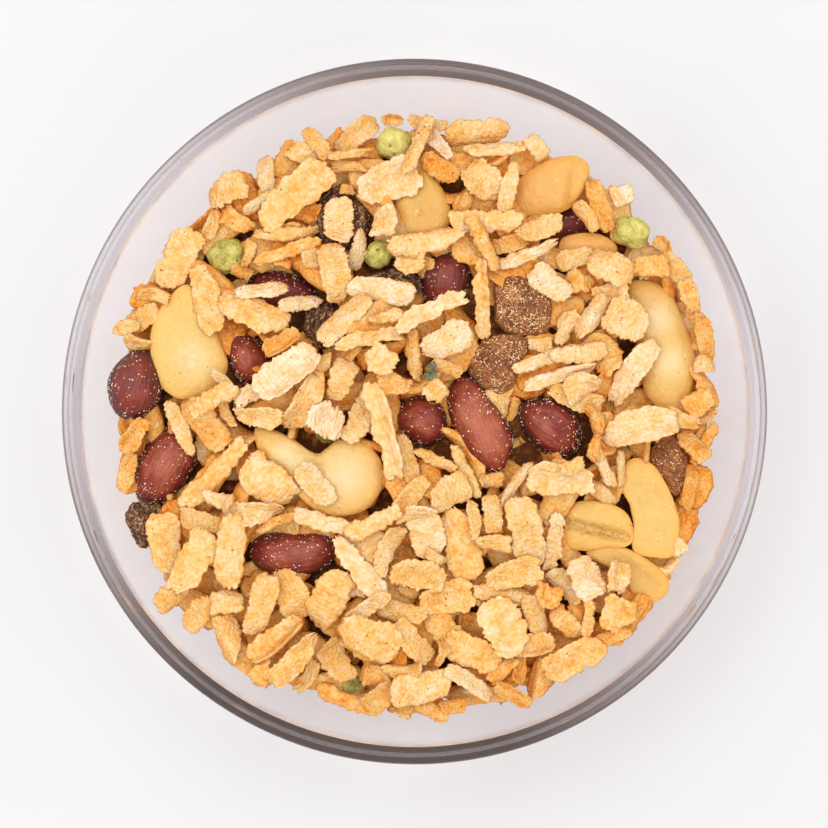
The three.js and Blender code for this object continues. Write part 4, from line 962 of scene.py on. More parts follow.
def revolve_tree():
    """Turns an outline of points, given in order as radius and height, about the upright axis."""
    tree, given, result = new_group("Revolve outline", "GeometryNodeTree", [
        ("Outline", "NodeSocketGeometry", None),
        ("Segments", "NodeSocketInt", 64),
        ("Finish", "NodeSocketMaterial", None),
    ], [("Geometry", "NodeSocketGeometry")])
    count = add_node(tree, "GeometryNodeAttributeDomainSize", {0: given["Outline"]}).outputs["Point Count"]
    last = calculate(tree, "SUBTRACT", count, 1.0)
    grid = add_node(tree, "GeometryNodeMeshGrid", {
        "Size X": last, "Size Y": given["Segments"], "Vertices X": count,
        "Vertices Y": calculate(tree, "ADD", given["Segments"], 1.0)})
    at = add_node(tree, "ShaderNodeSeparateXYZ", {0: add_node(tree, "GeometryNodeInputPosition").outputs[0]})
    index = calculate(
        tree, "ROUND", calculate(tree, "ADD", at.outputs[0], calculate(tree, "MULTIPLY", last, 0.5)))
    share = calculate(tree, "ADD", calculate(tree, "DIVIDE", at.outputs[1], given["Segments"]), 0.5)
    angle = calculate(tree, "MULTIPLY", share, 2 * math.pi)
    drawn = add_node(tree, "GeometryNodeSampleIndex", {
        "Geometry": given["Outline"], "Index": index}, data_type="FLOAT_VECTOR", domain="POINT")
    tree.links.new(add_node(tree, "GeometryNodeInputPosition").outputs[0], drawn.inputs["Value"])
    outline = add_node(tree, "ShaderNodeSeparateXYZ", {0: drawn.outputs[0]})
    turned = add_node(tree, "ShaderNodeCombineXYZ", {
        0: calculate(tree, "MULTIPLY", outline.outputs[0], calculate(tree, "COSINE", angle)),
        1: calculate(tree, "MULTIPLY", outline.outputs[0], calculate(tree, "SINE", angle)),
        2: outline.outputs[2]})
    swept = add_node(
        tree, "GeometryNodeSetPosition", {"Geometry": grid.outputs[0], "Position": turned.outputs[0]})
    closed = add_node(tree, "GeometryNodeMergeByDistance", {"Geometry": swept.outputs[0], "Distance": 1e-6})
    real = add_node(tree, "GeometryNodeRealizeInstances", {0: closed.outputs[0]})
    done = add_node(tree, "GeometryNodeSetMaterial", {0: real.outputs[0], "Material": given["Finish"]})
    tree.links.new(done.outputs[0], result["Geometry"])
    return tree


def lay_tree():
    """Lays one of a set of forms at each point, turned as the point says."""
    tree, given, result = new_group("Lay forms", "GeometryNodeTree", [
        ("Points", "NodeSocketGeometry", None),
        ("Forms", "NodeSocketCollection", None),
        ("Finish", "NodeSocketMaterial", None),
    ], [("Geometry", "NodeSocketGeometry")])
    forms = add_node(tree, "GeometryNodeCollectionInfo", {
        "Collection": given["Forms"], "Separate Children": True, "Reset Children": True})
    form = add_node(tree, "GeometryNodeInputNamedAttribute", {"Name": "form"}, data_type="INT")
    turn = add_node(tree, "GeometryNodeInputNamedAttribute", {"Name": "turn"}, data_type="FLOAT_VECTOR")
    laid = add_node(tree, "GeometryNodeInstanceOnPoints", {
        "Points": given["Points"], "Instance": forms.outputs[0], "Pick Instance": True,
        "Instance Index": form.outputs[0],
        "Scale": add_node(
            tree, "GeometryNodeInputNamedAttribute", {"Name": "size"}, data_type="FLOAT_VECTOR").outputs[0],
        "Rotation": add_node(tree, "FunctionNodeEulerToRotation", {0: turn.outputs[0]}).outputs[0]})
    real = add_node(tree, "GeometryNodeRealizeInstances", {0: laid.outputs[0]})
    done = add_node(tree, "GeometryNodeSetMaterial", {0: real.outputs[0], "Material": given["Finish"]})
    tree.links.new(done.outputs[0], result["Geometry"])
    return tree


def sprinkle_tree():
    """Sprinkles small grains over the upper side of a surface."""
    tree, given, result = new_group("Sprinkle grains", "GeometryNodeTree", [
        ("Surface", "NodeSocketGeometry", None),
        ("Density", "NodeSocketFloat", 1e5),
        ("Smallest", "NodeSocketFloat", 0.0001),
        ("Largest", "NodeSocketFloat", 0.0003),
        ("Lowest Facing", "NodeSocketFloat", -0.2),
        ("Lowest Height", "NodeSocketFloat", 0.03),
        ("Thick Where", "NodeSocketString", "grains"),
        ("Seed", "NodeSocketInt", 1),
        ("Finish", "NodeSocketMaterial", None),
    ], [("Geometry", "NodeSocketGeometry")])
    facing = add_node(
        tree, "ShaderNodeSeparateXYZ", {0: add_node(tree, "GeometryNodeInputNormal").outputs[0]})
    place = add_node(
        tree, "ShaderNodeSeparateXYZ", {0: add_node(tree, "GeometryNodeInputPosition").outputs[0]})
    upper = calculate(tree, "GREATER_THAN", facing.outputs[2], given["Lowest Facing"])
    high = calculate(tree, "GREATER_THAN", place.outputs[2], given["Lowest Height"])
    patch = add_node(tree, "ShaderNodeTexNoise", {"Scale": 260.0, "Detail": 1.0})
    uneven = add_node(tree, "ShaderNodeMapRange", {
        "Value": patch.outputs[0], "From Min": 0.38, "From Max": 0.68, "To Min": 0.3, "To Max": 1.8})
    where = add_node(
        tree, "GeometryNodeInputNamedAttribute", {"Name": given["Thick Where"]}, data_type="FLOAT")
    thick = calculate(tree, "MULTIPLY", uneven.outputs[0], where.outputs[0])
    spots = add_node(tree, "GeometryNodeDistributePointsOnFaces", {
        "Mesh": given["Surface"], "Selection": calculate(tree, "MULTIPLY", upper, high),
        "Density": calculate(tree, "MULTIPLY", given["Density"], thick), "Seed": given["Seed"]})
    grain = add_node(tree, "GeometryNodeMeshIcoSphere", {"Radius": 0.5, "Subdivisions": 1})
    size = add_node(tree, "FunctionNodeRandomValue", {
        2: given["Smallest"], 3: given["Largest"], "Seed": given["Seed"]}, data_type="FLOAT")
    stretch = add_node(tree, "FunctionNodeRandomValue", {
        0: (0.7, 0.7, 0.5), 1: (1.3, 1.0, 0.8), "Seed": given["Seed"]}, data_type="FLOAT_VECTOR")
    scale = add_node(tree, "ShaderNodeVectorMath", {
        0: stretch.outputs[0], "Scale": size.outputs[1]}, operation="SCALE")
    laid = add_node(tree, "GeometryNodeInstanceOnPoints", {
        "Points": spots.outputs["Points"], "Instance": grain.outputs[0],
        "Rotation": spots.outputs["Rotation"], "Scale": scale.outputs[0]})
    real = add_node(tree, "GeometryNodeRealizeInstances", {0: laid.outputs[0]})
    done = add_node(tree, "GeometryNodeSetMaterial", {0: real.outputs[0], "Material": given["Finish"]})
    tree.links.new(done.outputs[0], result["Geometry"])
    return tree


def shared_tree(name, make):
    return bpy.data.node_groups.get(name) or make()


def revolve(name, outline, segments, finish):
    """A closed turned piece from an outline of (radius, height) rows in millimetres."""
    points = np.column_stack([outline[:, 0], np.zeros(len(outline)), outline[:, 1]])
    base = mesh_from_arrays(name, points, np.zeros((0, 3), dtype=int))
    obj = grow(name, base, shared_tree("Revolve outline", revolve_tree), {
        "Segments": segments, "Finish": finish})
    face_outwards(obj.data)
    return obj


# The bowl


def bowl_outline(sizes):
    """Radius and height round the glass, from the middle of its underside to the middle of its floor."""
    rim_round = sizes.rim_thickness / 2
    rim_base = sizes.height - rim_round
    depth = sizes.recess_depth
    foot = sizes.foot_radius
    corner = 0.0006
    angles = np.linspace(0, math.pi, 45)
    ripple = 1 + np.sin(angles * 11) + np.sin(angles * 19 + 1)
    ringed = rim_round - sizes.ring_depth * np.sin(angles) * ripple
    rim = np.column_stack([
        sizes.rim_radius - rim_round + ringed * np.cos(angles), rim_base + ringed * np.sin(angles)])
    flank = (foot + sizes.foot_spread, sizes.foot_height)
    outside = quadratic(flank, sizes.outer_bulge, (sizes.rim_radius, rim_base), 40)[1:-1]
    parts = [
        np.column_stack([np.linspace(0, sizes.recess_radius - corner, 8), np.full(8, depth)]),
        quadratic((sizes.recess_radius - corner, depth), (sizes.recess_radius + corner, depth),
                  (sizes.recess_radius + 2 * depth, 0), 6),
        quadratic((foot - corner, 0), (foot, 0), (foot + corner / 3, corner), 5),
        quadratic((foot + corner / 2, 2 * corner), (foot + corner, 0.8 * sizes.foot_height), flank, 6),
        outside,
        rim,
        inner_wall(sizes, 34)[::-1][1:-1] * MM,
        np.column_stack([np.linspace(sizes.floor_radius, 0, 8), np.full(8, sizes.floor_thickness)]),
    ]
    return np.vstack(parts) / MM


class SNACK_OT_bowl(bpy.types.Operator):
    """Turn the glass bowl from its outline"""

    bl_idname = "snack.bowl"
    bl_label = "Glass bowl"

    def execute(self, context):
        sizes = context.scene.snack_bowl
        obj = revolve("glass_bowl", bowl_outline(sizes), sizes.segments, glass_finish())
        enter_piece(obj, "glass", "bowl")
        return {"FINISHED"}


# The large pieces


def ball(level):
    """Points and faces of an even ball of radius 1."""
    shell = bmesh.new()
    bmesh.ops.create_icosphere(shell, subdivisions=level, radius=1)
    points = np.array([v.co for v in shell.verts])
    faces = np.array([[v.index for v in f.verts] for f in shell.faces])
    shell.free()
    return points, faces


def wander(points, size, seed):
    """Smooth noise from -1 to 1 at points in millimetres."""
    shift = Vector((17.3 * seed, -9.1 * seed, 5.7 * seed))
    return np.array([noise.noise(Vector(p) / size + shift) for p in points])


def cells(points, size, seed):
    """0 between cells and 1 at their middles, at points in millimetres."""
    shift = Vector((3.1 * seed, 7.7 * seed, -2.9 * seed))
    near = np.array([noise.voronoi(Vector(p) / size + shift)[0][0] for p in points])
    return np.clip(1 - near * 1.25, 0, 1)


def set_on_node(points, node, row):
    """Turns a piece as its row says and moves it to the middle of its solid."""
    turned = points @ np.array(Euler((0, 0, math.radians(row["turn"]))).to_matrix()).T
    low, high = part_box(node)
    middle = np.array((low + high) / 2) / MM
    return turned + middle - (turned.min(axis=0) + turned.max(axis=0)) / 2


def outward(points):
    return points / np.maximum(np.linalg.norm(points, axis=1, keepdims=True), 1e-9)


def outline_reach(corners, angles):
    """Distance from the middle to a smooth closed line through the corners, at each angle."""
    before, after, later = (np.roll(corners, step, axis=0) for step in (1, -1, -2))
    share = np.linspace(0, 1, 24, endpoint=False)[:, None, None]
    line = corners + 0.5 * share * (
        after - before + share * (2 * before - 5 * corners + 4 * after - later)
        + share ** 2 * (3 * corners - before - 3 * after + later))
    line = line.reshape(-1, 2)
    turn = np.arctan2(line[:, 1], line[:, 0])
    order = np.argsort(turn)
    return np.interp(angles, turn[order], np.hypot(*line.T)[order], period=2 * math.pi)


def mound(unit, node, row):
    """Points of a piece with its own outline, as high as its solid, and how far out each of them lies."""
    corners = np.array(OUTLINES[node])
    middle = corners.mean(axis=0)
    out = np.hypot(unit[:, 0], unit[:, 1])
    reach = outline_reach(corners - middle, np.arctan2(unit[:, 1], unit[:, 0]))
    flat = unit[:, :2] * reach[:, None]
    low, high = (corner.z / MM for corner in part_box(node))
    level = low + row.get("edge", 0.5) * (high - low)
    upper = np.clip(1 - out ** row.get("square", 2), 0, 1) ** 0.5
    lower = np.clip(1 - out ** 2.2, 0, 1) ** 0.5
    height = np.where(unit[:, 2] > 0, (high - level) * upper, (low - level) * lower)
    return np.column_stack([flat + middle, level + height + flat @ np.array(row.get("slope", (0, 0)))]), out


def own_place(points, turn):
    """Places on a piece, with the first along its grain."""
    away = points - points.mean(axis=0)
    cosine, sine = math.cos(math.radians(turn)), math.sin(math.radians(turn))
    return np.column_stack([
        away[:, 0] * cosine + away[:, 1] * sine, away[:, 1] * cosine - away[:, 0] * sine, away[:, 2]])


def folds(places, size, seed):
    """Sharp ridges with hollows between them, from 0 to 1."""
    return (1 - np.abs(wander(places, size, seed))) ** 3


def peanut_form(unit, node, row, seed):
    points, out = mound(unit, node, row)
    own = own_place(points, row["turn"])
    drawn = own * (0.2, 1, 1)
    swell = 0.16 * wander(own, 4.5, seed) + 0.2 * (folds(drawn, 1.5, seed + 1) - 0.5)
    swell += 0.08 * wander(drawn, 0.8, seed)
    points = points + outward(unit) * swell[:, None]
    return points, {
        "own_place": own, "edge": out ** 5, "tone": np.full(len(unit), row["tone"]),
        "grains": 0.2 + 0.8 * out ** 3}


def cashew_form(unit, node, row, seed):
    points, out = mound(unit, node, row)
    upper = np.clip(unit[:, 2] * 4, 0, 1)
    sink = np.zeros(len(points))
    cleft = np.zeros(len(points))
    pale = np.zeros(len(points))
    # Pale places: partly paler flesh, partly a painted highlight.
    for x, y, radius in row.get("pale", ()):
        away = np.hypot(points[:, 0] - x, points[:, 1] - y)
        pale = np.maximum(pale, np.exp(-(away / radius) ** 2))
    for x, y, depth, radius in row.get("dents", ()):
        sink += depth * np.exp(-((points[:, 0] - x) ** 2 + (points[:, 1] - y) ** 2) / radius ** 2)
    for x0, y0, x1, y1, depth, width in row.get("clefts", ()):
        start, run = np.array((x0, y0)), np.array((x1 - x0, y1 - y0))
        share = np.clip((points[:, :2] - start) @ run / (run @ run), 0, 1)
        away = np.linalg.norm(points[:, :2] - start - share[:, None] * run, axis=1)
        line = np.exp(-(away / width) ** 2)
        sink += depth * line
        cleft = np.maximum(cleft, line * (depth > 1))
    points[:, 2] -= sink * upper
    swell = 0.3 * wander(points, 5.0, seed) + 0.12 * wander(points, 2.1, seed + 1)
    swell += 0.05 * wander(points, 0.9, seed)
    points = points + outward(unit) * swell[:, None]
    return points, {
        "cleft": cleft, "pale": pale, "edge": out ** 5, "grains": np.ones(len(unit)),
        "tone": np.full(len(unit), row["tone"])}


def golden_raisin_form(unit, node, row, seed):
    points, out = mound(unit, node, row)
    own = own_place(points, row["turn"])
    lump = 0.5 * wander(own, 3.0, seed) + 0.3 * wander(own, 1.4, seed + 1)
    lump += 0.25 * (folds(own, 1.8, seed) - 0.5)
    points = points + outward(unit) * (0.6 * lump)[:, None]
    return points, {
        "lump": np.clip(0.5 + lump, 0, 1), "edge": 0.7 * out ** 5,
        "grains": row.get("crystals", 1) * np.clip(1.6 - 1.7 * out ** 3, 0, 1)}


def dark_raisin_form(unit, node, row, seed):
    points, _ = mound(unit, node, row)
    own = own_place(points, row["turn"])
    drawn = own * (0.5, 1, 1)
    fold = 0.5 * folds(drawn, 1.7, seed) + 0.3 * folds(drawn, 0.9, seed + 1) + 0.2 * folds(own, 0.5, seed + 2)
    points = points + outward(unit) * (0.9 * fold - 0.5)[:, None]
    return points, {
        "lump": np.clip(1.5 * fold - 0.2, 0, 1), "edge": np.zeros(len(unit)), "grains": np.clip(fold, 0, 1)}


def pea_form(unit, node, row, seed):
    length, width = row["size"]
    points = unit * (length / 2, width / 2, width / 2)
    square = np.abs(unit).max(axis=1)
    lump = cells(points, 2.1, seed)
    rough = 0.2 * lump + 0.38 * wander(points, 2.4, seed) + 0.14 * wander(points, 0.8, seed + 1)
    draw = np.random.default_rng(seed)
    pits = outward(draw.normal(0, 1, (9, 3))) * width / 2
    near = np.linalg.norm(points[:, None] - pits, axis=2).min(axis=1)
    pit = np.exp(-(near / 0.2) ** 2)
    points = points * (1 + 0.1 * (1 - square))[:, None] + outward(unit) * (rough - 0.2 - 0.35 * pit)[:, None]
    return set_on_node(points, node, row), {"lump": lump, "pit": pit, "tone": np.full(len(unit), row["tone"])}


def make_pieces(rows, form, finish, slot, seed, level=5):
    """Makes one piece for each solid of a kind."""
    unit, faces = ball(level)
    made = []
    for count, (node, row) in enumerate(rows.items()):
        points, values = form(unit, node, row, seed + 7 * count)
        mesh = mesh_from_arrays(f"{node}_piece", points, faces, values)
        mesh.materials.append(finish)
        obj = link_object(bpy.data.objects.new(f"{node}_piece", mesh))
        made.append(enter_piece(obj, slot, node))
    if len(made) != len(rows):
        raise RuntimeError(f"only {len(made)} of {len(rows)} {slot} pieces were made")
    return made


class SNACK_OT_peanuts(bpy.types.Operator):
    """Make the peanuts in their red skins"""

    bl_idname = "snack.peanuts"
    bl_label = "Peanuts"

    def execute(self, context):
        make_pieces(PEANUTS, peanut_form, peanut_finish(context.scene.snack_colours), "peanut_skin", 3)
        return {"FINISHED"}


class SNACK_OT_cashews(bpy.types.Operator):
    """Make the cashew halves"""

    bl_idname = "snack.cashews"
    bl_label = "Cashew halves"

    def execute(self, context):
        make_pieces(CASHEWS, cashew_form, cashew_finish(context.scene.snack_colours), "cashew", 11)
        return {"FINISHED"}


class SNACK_OT_raisins(bpy.types.Operator):
    """Make the golden and the dark raisins"""

    bl_idname = "snack.raisins"
    bl_label = "Raisins"

    def execute(self, context):
        colours = context.scene.snack_colours
        # The third colour is the painted light on ridges and, for golden raisins, on rims.
        golden = raisin_finish("Golden raisin skin", colours.raisin_gold, (0.58, 0.25, 0.08), 0.5, 0.3, 0.26)
        dark = raisin_finish("Dark raisin skin", colours.raisin_dark, (0.42, 0.235, 0.125), 0.42, 0.3, 0.5)
        make_pieces(GOLDEN_RAISINS, golden_raisin_form, golden, "golden_raisin", 23, 6)
        make_pieces(DARK_RAISINS, dark_raisin_form, dark, "dark_raisin", 31)
        return {"FINISHED"}


class SNACK_OT_peas(bpy.types.Operator):
    """Make the puffed green peas"""

    bl_idname = "snack.peas"
    bl_label = "Puffed peas"

    def execute(self, context):
        make_pieces(PEAS, pea_form, pea_finish(context.scene.snack_colours), "puffed_pea", 43)
        return {"FINISHED"}


# The flakes

FLAKE_KINDS = {
    "broad": dict(
        length=(9.5, 12.5), width=(4.2, 5.8), thickness=(0.9, 1.4), tip=0.965, grid=(33, 15), forms=22),
    "slim": dict(
        length=(8.5, 12.5), width=(2.2, 3.2), thickness=(1.2, 1.8), tip=0.985, grid=(36, 11), forms=18),
    "broken": dict(
        length=(4.2, 6.2), width=(2.6, 4.4), thickness=(1.0, 1.7), tip=0.93, grid=(22, 14), forms=16),
    "buried": dict(
        length=(7.5, 12.0), width=(3.4, 5.4), thickness=(1.3, 1.9), tip=0.96, grid=(14, 7), forms=24),
    "pressed": dict(
        length=(8.0, 12.5), width=(3.6, 5.6), thickness=(1.3, 1.8), tip=0.96, grid=(11, 6), forms=20),
}

# Bit of dried leaf among the flakes, with its middle in millimetres and its turn in degrees
LEAF_BIT = dict(length=(2.9, 2.9), width=(2.0, 2.0), thickness=(0.4, 0.4), tip=0.93, grid=(12, 8))
LEAF_PLACE = (2.5, 6.1)
LEAF_TURN = 60


def crowded(count):
    """Steps from -1 to 1 that lie closer together at the ends."""
    even = np.linspace(-1, 1, count)
    return (even + np.sin(even * math.pi / 2)) / 2


class FlakeForm:
    """One shape of flake, lying flat, with its points in millimetres."""

    def __init__(self, kind, draw, seed):
        self.length, self.width, self.thickness = (
            draw.uniform(*kind[key]) for key in ("length", "width", "thickness"))
        along, across = np.meshgrid(*(crowded(count) for count in kind["grid"]), indexing="ij")
        self.lay_out(along, across, kind["tip"], draw, seed)
        self.join(*kind["grid"])

    def ragged(self, steps, seed):
        """Notches along one side or end."""
        line = np.column_stack([steps, np.zeros((len(steps), 2))])
        teeth = 0.3 - np.abs(wander(line, 0.9, seed + 2))
        return 0.5 * wander(line, 2.4, seed) + 0.8 * teeth + 0.25 * wander(line, 0.45, seed + 4)

    def lay_out(self, along, across, tip, draw, seed):
        """Lays out the notched outline, the thickness, the curl and the lumps of both faces."""
        half, reach = self.width / 2, self.length / 2
        girth = (1 - np.abs(along * tip) ** draw.uniform(2.6, 5.0)) ** 0.42
        girth = girth * (1 + draw.uniform(-0.22, 0.22) * along)
        sides = [self.ragged(along[:, 0] * reach, seed + k)[:, None] for k in (11, 23)]
        ends = [self.ragged(across[0] * half, seed + k)[None, :] for k in (37, 51)]
        x = along * reach + np.abs(along) ** 3 * np.where(along > 0, ends[0], ends[1])
        y = across * (half * girth + np.where(across > 0, sides[0], sides[1]) * np.abs(across) ** 2)
        y = y + draw.uniform(-0.6, 0.6) * (along ** 2 - 0.4)
        middle = draw.normal(0.2, 0.5) * (y / half) ** 2 * half * 0.5
        middle = middle + draw.normal(0, 0.9) * (along ** 2 - 0.3) + draw.normal(0, 0.35) * along * across
        place = np.column_stack([x.ravel(), y.ravel(), np.zeros(x.size)])
        middle = middle + 0.34 * wander(place, 3.4, seed + 5).reshape(x.shape)
        depth = np.sqrt((1 - np.abs(across) ** 3) * (1 - np.abs(along) ** 7))
        faces = []
        for side in (1, -1):
            lump = cells(place + (0, 0, 7 * side), 0.95, seed).reshape(x.shape)
            rough = 0.26 * (lump - 0.4) + 0.12 * wander(place + (0, 0, 5 * side), 0.75, seed).reshape(x.shape)
            faces.append((middle + side * depth * (self.thickness / 2 + rough), lump))
        self.x, self.y, self.faces = x, y, faces
        self.edge = np.maximum(np.abs(across) ** 5, np.abs(along) ** 9)

    def join(self, columns, rows):
        """Joins the upper and lower face along the rim into one closed shell."""
        upper = np.arange(columns * rows).reshape(columns, rows)
        lower = upper.copy()
        inner = (slice(1, -1), slice(1, -1))
        lower[inner] = columns * rows + np.arange((columns - 2) * (rows - 2)).reshape(columns - 2, rows - 2)
        top = np.column_stack([self.x.ravel(), self.y.ravel(), self.faces[0][0].ravel()])
        under = np.column_stack(
            [self.x[inner].ravel(), self.y[inner].ravel(), self.faces[1][0][inner].ravel()])
        self.points = np.vstack([top, under])
        quads = []
        for grid, order in ((upper, (0, 1, 2, 3)), (lower, (3, 2, 1, 0))):
            corners = (grid[:-1, :-1], grid[1:, :-1], grid[1:, 1:], grid[:-1, 1:])
            quads.append(np.stack([corners[i].ravel() for i in order], axis=1))
        self.quads = np.vstack(quads)
        self.lump = np.concatenate([self.faces[0][1].ravel(), self.faces[1][1][inner].ravel()])
        self.rim = np.concatenate([self.edge.ravel(), self.edge[inner].ravel()])

    def skin(self, size):
        """Points close together over the form at a size, for finding what it touches."""
        between = [self.points[self.quads[:, pair]].mean(axis=1) for pair in ((0, 1), (1, 2), (0, 2))]
        return np.vstack([self.points, *between]) * size


class Relief:
    """Heights in millimetres of what has settled so far, on a square grid."""

    def __init__(self, sizes, heap, reach=52.0, cell=0.5):
        self.reach, self.cell = reach, cell
        axis = np.arange(-reach, reach + cell, cell)
        self.x, self.y = np.meshgrid(axis, axis, indexing="ij")
        radius = np.hypot(self.x, self.y)
        wall = inner_wall(sizes, 300)
        climb = np.interp(radius, wall[:, 0] - 0.25, wall[:, 1], right=200)
        self.goal = heap_height(heap, radius)
        self.ground = np.maximum(self.goal - heap.core_sink / MM, climb)
        self.tops = np.full_like(self.ground, -1e3)
        self.inside = radius + 4 * np.clip(self.y / 46, 0, 1) ** 4 < heap.radius / MM - 1.5
        self.gaps = np.zeros_like(self.inside)
        for x, y, size in OPEN_GAPS:
            self.gaps |= np.hypot(self.x - x, self.y - y) < size

    def cells_at(self, points):
        index = np.round((points[:, :2] + self.reach) / self.cell).astype(int)
        return tuple(np.clip(index, 0, self.x.shape[0] - 1).T)

    def add_large_piece(self, points):
        """Notes the top of a large piece, which flakes may go under but mostly not over."""
        np.maximum.at(self.tops, self.cells_at(points), points[:, 2])

    def low_spot(self, draw):
        """Of several chance places, the one that lies furthest below the heap's surface."""
        free = np.argwhere(self.inside & ~self.gaps & (self.tops < 0))
        tried = free[draw.integers(0, len(free), 9)]
        low = [(self.ground[i - 2:i + 3, j - 2:j + 3] - self.goal[i, j]).mean() for i, j in tried]
        i, j = tried[int(np.argmin(low))]
        return np.array([self.x[i, j], self.y[i, j], 0]), float(np.min(low))

    def settle(self, skin, spot, turns, over, most_hidden, most_bridging=1.0):
        """Drops a flake at a spot in each of the turns and keeps the one in which it lies lowest."""
        best = None
        for turn in turns:
            points = skin @ np.array(Euler(turn).to_matrix()).T + spot
            under = self.cells_at(points)
            tops = self.tops[under]
            ground = np.maximum(self.ground[under], tops) if over else self.ground[under]
            gaps = ground - points[:, 2]
            press = max(len(gaps) // 22, 1)
            rest = np.partition(gaps, -press)[-press]
            hidden = ((tops > 0) & (points[:, 2] + rest > tops + 0.1)).mean()
            fits = hidden <= most_hidden and self.gaps[under].mean() <= most_bridging
            if fits and (best is None or rest < best[0]):
                best = (rest, turn, points)
        if best is None:
            return None
        rest, turn, points = best
        np.maximum.at(self.ground, self.cells_at(points), points[:, 2] + rest)
        return tuple(spot + (0, 0, rest)), turn


def chance_turns(draw, spread, on_edge):
    for _ in range(14):
        roll = draw.normal(0, spread) + on_edge * draw.choice((-1, 1)) + math.pi * draw.integers(0, 2)
        yield roll, draw.normal(0, spread), draw.uniform(0, 2 * math.pi)


def shown_turns(draw, turn):
    for _ in range(7):
        about = math.radians(turn) + math.pi * draw.integers(0, 2) + draw.normal(0, 0.04)
        yield draw.normal(0, 0.3) + math.pi * draw.integers(0, 2), draw.normal(0, 0.2), about


def scatter(relief, forms, kinds, draw, count, stop, tones):
    """Lays flakes by chance in the lowest places, until these come near the heap's surface."""
    laid = []
    for _ in range(count):
        spot, lack = relief.low_spot(draw)
        if lack > stop:
            continue
        kind = draw.choice(list(kinds), p=list(kinds.values()))
        index = int(draw.integers(0, len(forms[kind])))
        on_edge = draw.uniform(0.7, 1.3) if draw.random() < 0.18 else 0.0
        size = tuple(draw.uniform(0.88, 1.1, 3))
        rest = relief.settle(
            forms[kind][index].skin(size), spot, chance_turns(draw, 0.28, on_edge), False, 0.06, 0.03)
        if rest:
            laid.append((kind, index, *rest, size, tones[0] + draw.random() * tones[1]))
    return laid


def lay_shown(relief, forms, draw):
    """Lays the flakes that the picture shows, the lower ones first."""
    laid = []
    for count, (x, y, length, width, turn, tone, over) in enumerate(SHOWN_FLAKES):
        kind = "broken" if length < 6 else "slim" if width < 0.31 * length else "broad"
        index = count % len(forms[kind])
        form = forms[kind][index]
        size = (length / form.length, width / form.width, 1.0)
        spot = np.array([x, y, 0.0])
        rest = None if over else relief.settle(form.skin(size), spot, shown_turns(draw, turn), False, 0.05)
        rest = rest or relief.settle(form.skin(size), spot, shown_turns(draw, turn), True, 1)
        laid.append((kind, index, *rest, size, tone))
    return laid


def form_collection(name, forms):
    """Flake forms as objects in a collection of their own, out of the scene."""
    group = bpy.data.collections.new(name)
    for count, form in enumerate(forms):
        label = f"{name}_{count:02d}"
        mesh = mesh_from_arrays(label, form.points, form.quads, {
            "lump": form.lump, "edge": form.rim,
            "own_place": form.points + (17 * count, 9 * count, 5 * count)})
        group.objects.link(bpy.data.objects.new(label, mesh))
    return group


def lay_flakes(name, forms, laid, finish):
    """Turns settled places into one mesh of flakes."""
    _, index, place, turn, size, tone = zip(*laid)
    base = mesh_from_arrays(
        name, place, np.zeros((0, 3), dtype=int), {"turn": turn, "size": size, "tone": tone})
    base.attributes.new("form", "INT", "POINT").data.foreach_set("value", index)
    group = form_collection(f"{name}_forms", forms)
    obj = grow(name, base, shared_tree("Lay forms", lay_tree), {"Forms": group, "Finish": finish})
    for helper in list(group.objects):
        bpy.data.meshes.remove(helper.data)
    bpy.data.collections.remove(group)
    return obj


def core_outline(sizes, heap):
    """Radius and height round the core, from the middle of its underside to the middle of its top."""
    floor = sizes.floor_thickness / MM + heap.core_gap / MM
    shoulder = (heap.edge_height - heap.core_sink) / MM
    heights = np.linspace(floor, shoulder, 30)
    radii = inner_radius_at(sizes, heights) - heap.core_gap / MM
    under = np.column_stack([np.linspace(0, radii[0], 16)[:-1], np.full(15, floor)])
    across = np.linspace(radii[-1], 0, 40)[1:]
    top = np.column_stack([across, heap_height(heap, across) - heap.core_sink / MM])
    return np.vstack([under, np.column_stack([radii, heights]), top])


def rough_core(mesh, amount, finishes):
    """Moves the core's points in and out, as packed flakes do, and makes its sides paler than its top. Its
    top shows only in the gaps and is painted in deep shade; its sides take a paler tone, painted light where
    they show through the glass.
    """
    points = np.empty(len(mesh.vertices) * 3)
    mesh.vertices.foreach_get("co", points)
    points = points.reshape(-1, 3) / MM
    middle = np.array([0, 0, points[:, 2].mean()])
    lump = cells(points * (1, 1, 1.6), 4.2, 5)
    points = points + outward(points - middle) * (amount * (lump - 0.6))[:, None]
    mesh.vertices.foreach_set("co", (points * MM).ravel())
    tone = 0.4 * lump + np.where(points[:, 2] < 31, 0.4, 0)
    for label, values in {"lump": lump * 0.6, "edge": 1 - lump, "tone": tone}.items():
        mesh.attributes.new(label, "FLOAT", "POINT").data.foreach_set("value", values)
    mesh.attributes.new("own_place", "FLOAT_VECTOR", "POINT").data.foreach_set("vector", points.ravel())
    mesh.update()
    middles = np.empty(len(mesh.polygons) * 3)
    mesh.polygons.foreach_get("center", middles)
    mesh.materials.clear()
    for finish in finishes:
        mesh.materials.append(finish)
    mesh.polygons.foreach_set("material_index", (middles[2::3] < 31 * MM).astype(int))


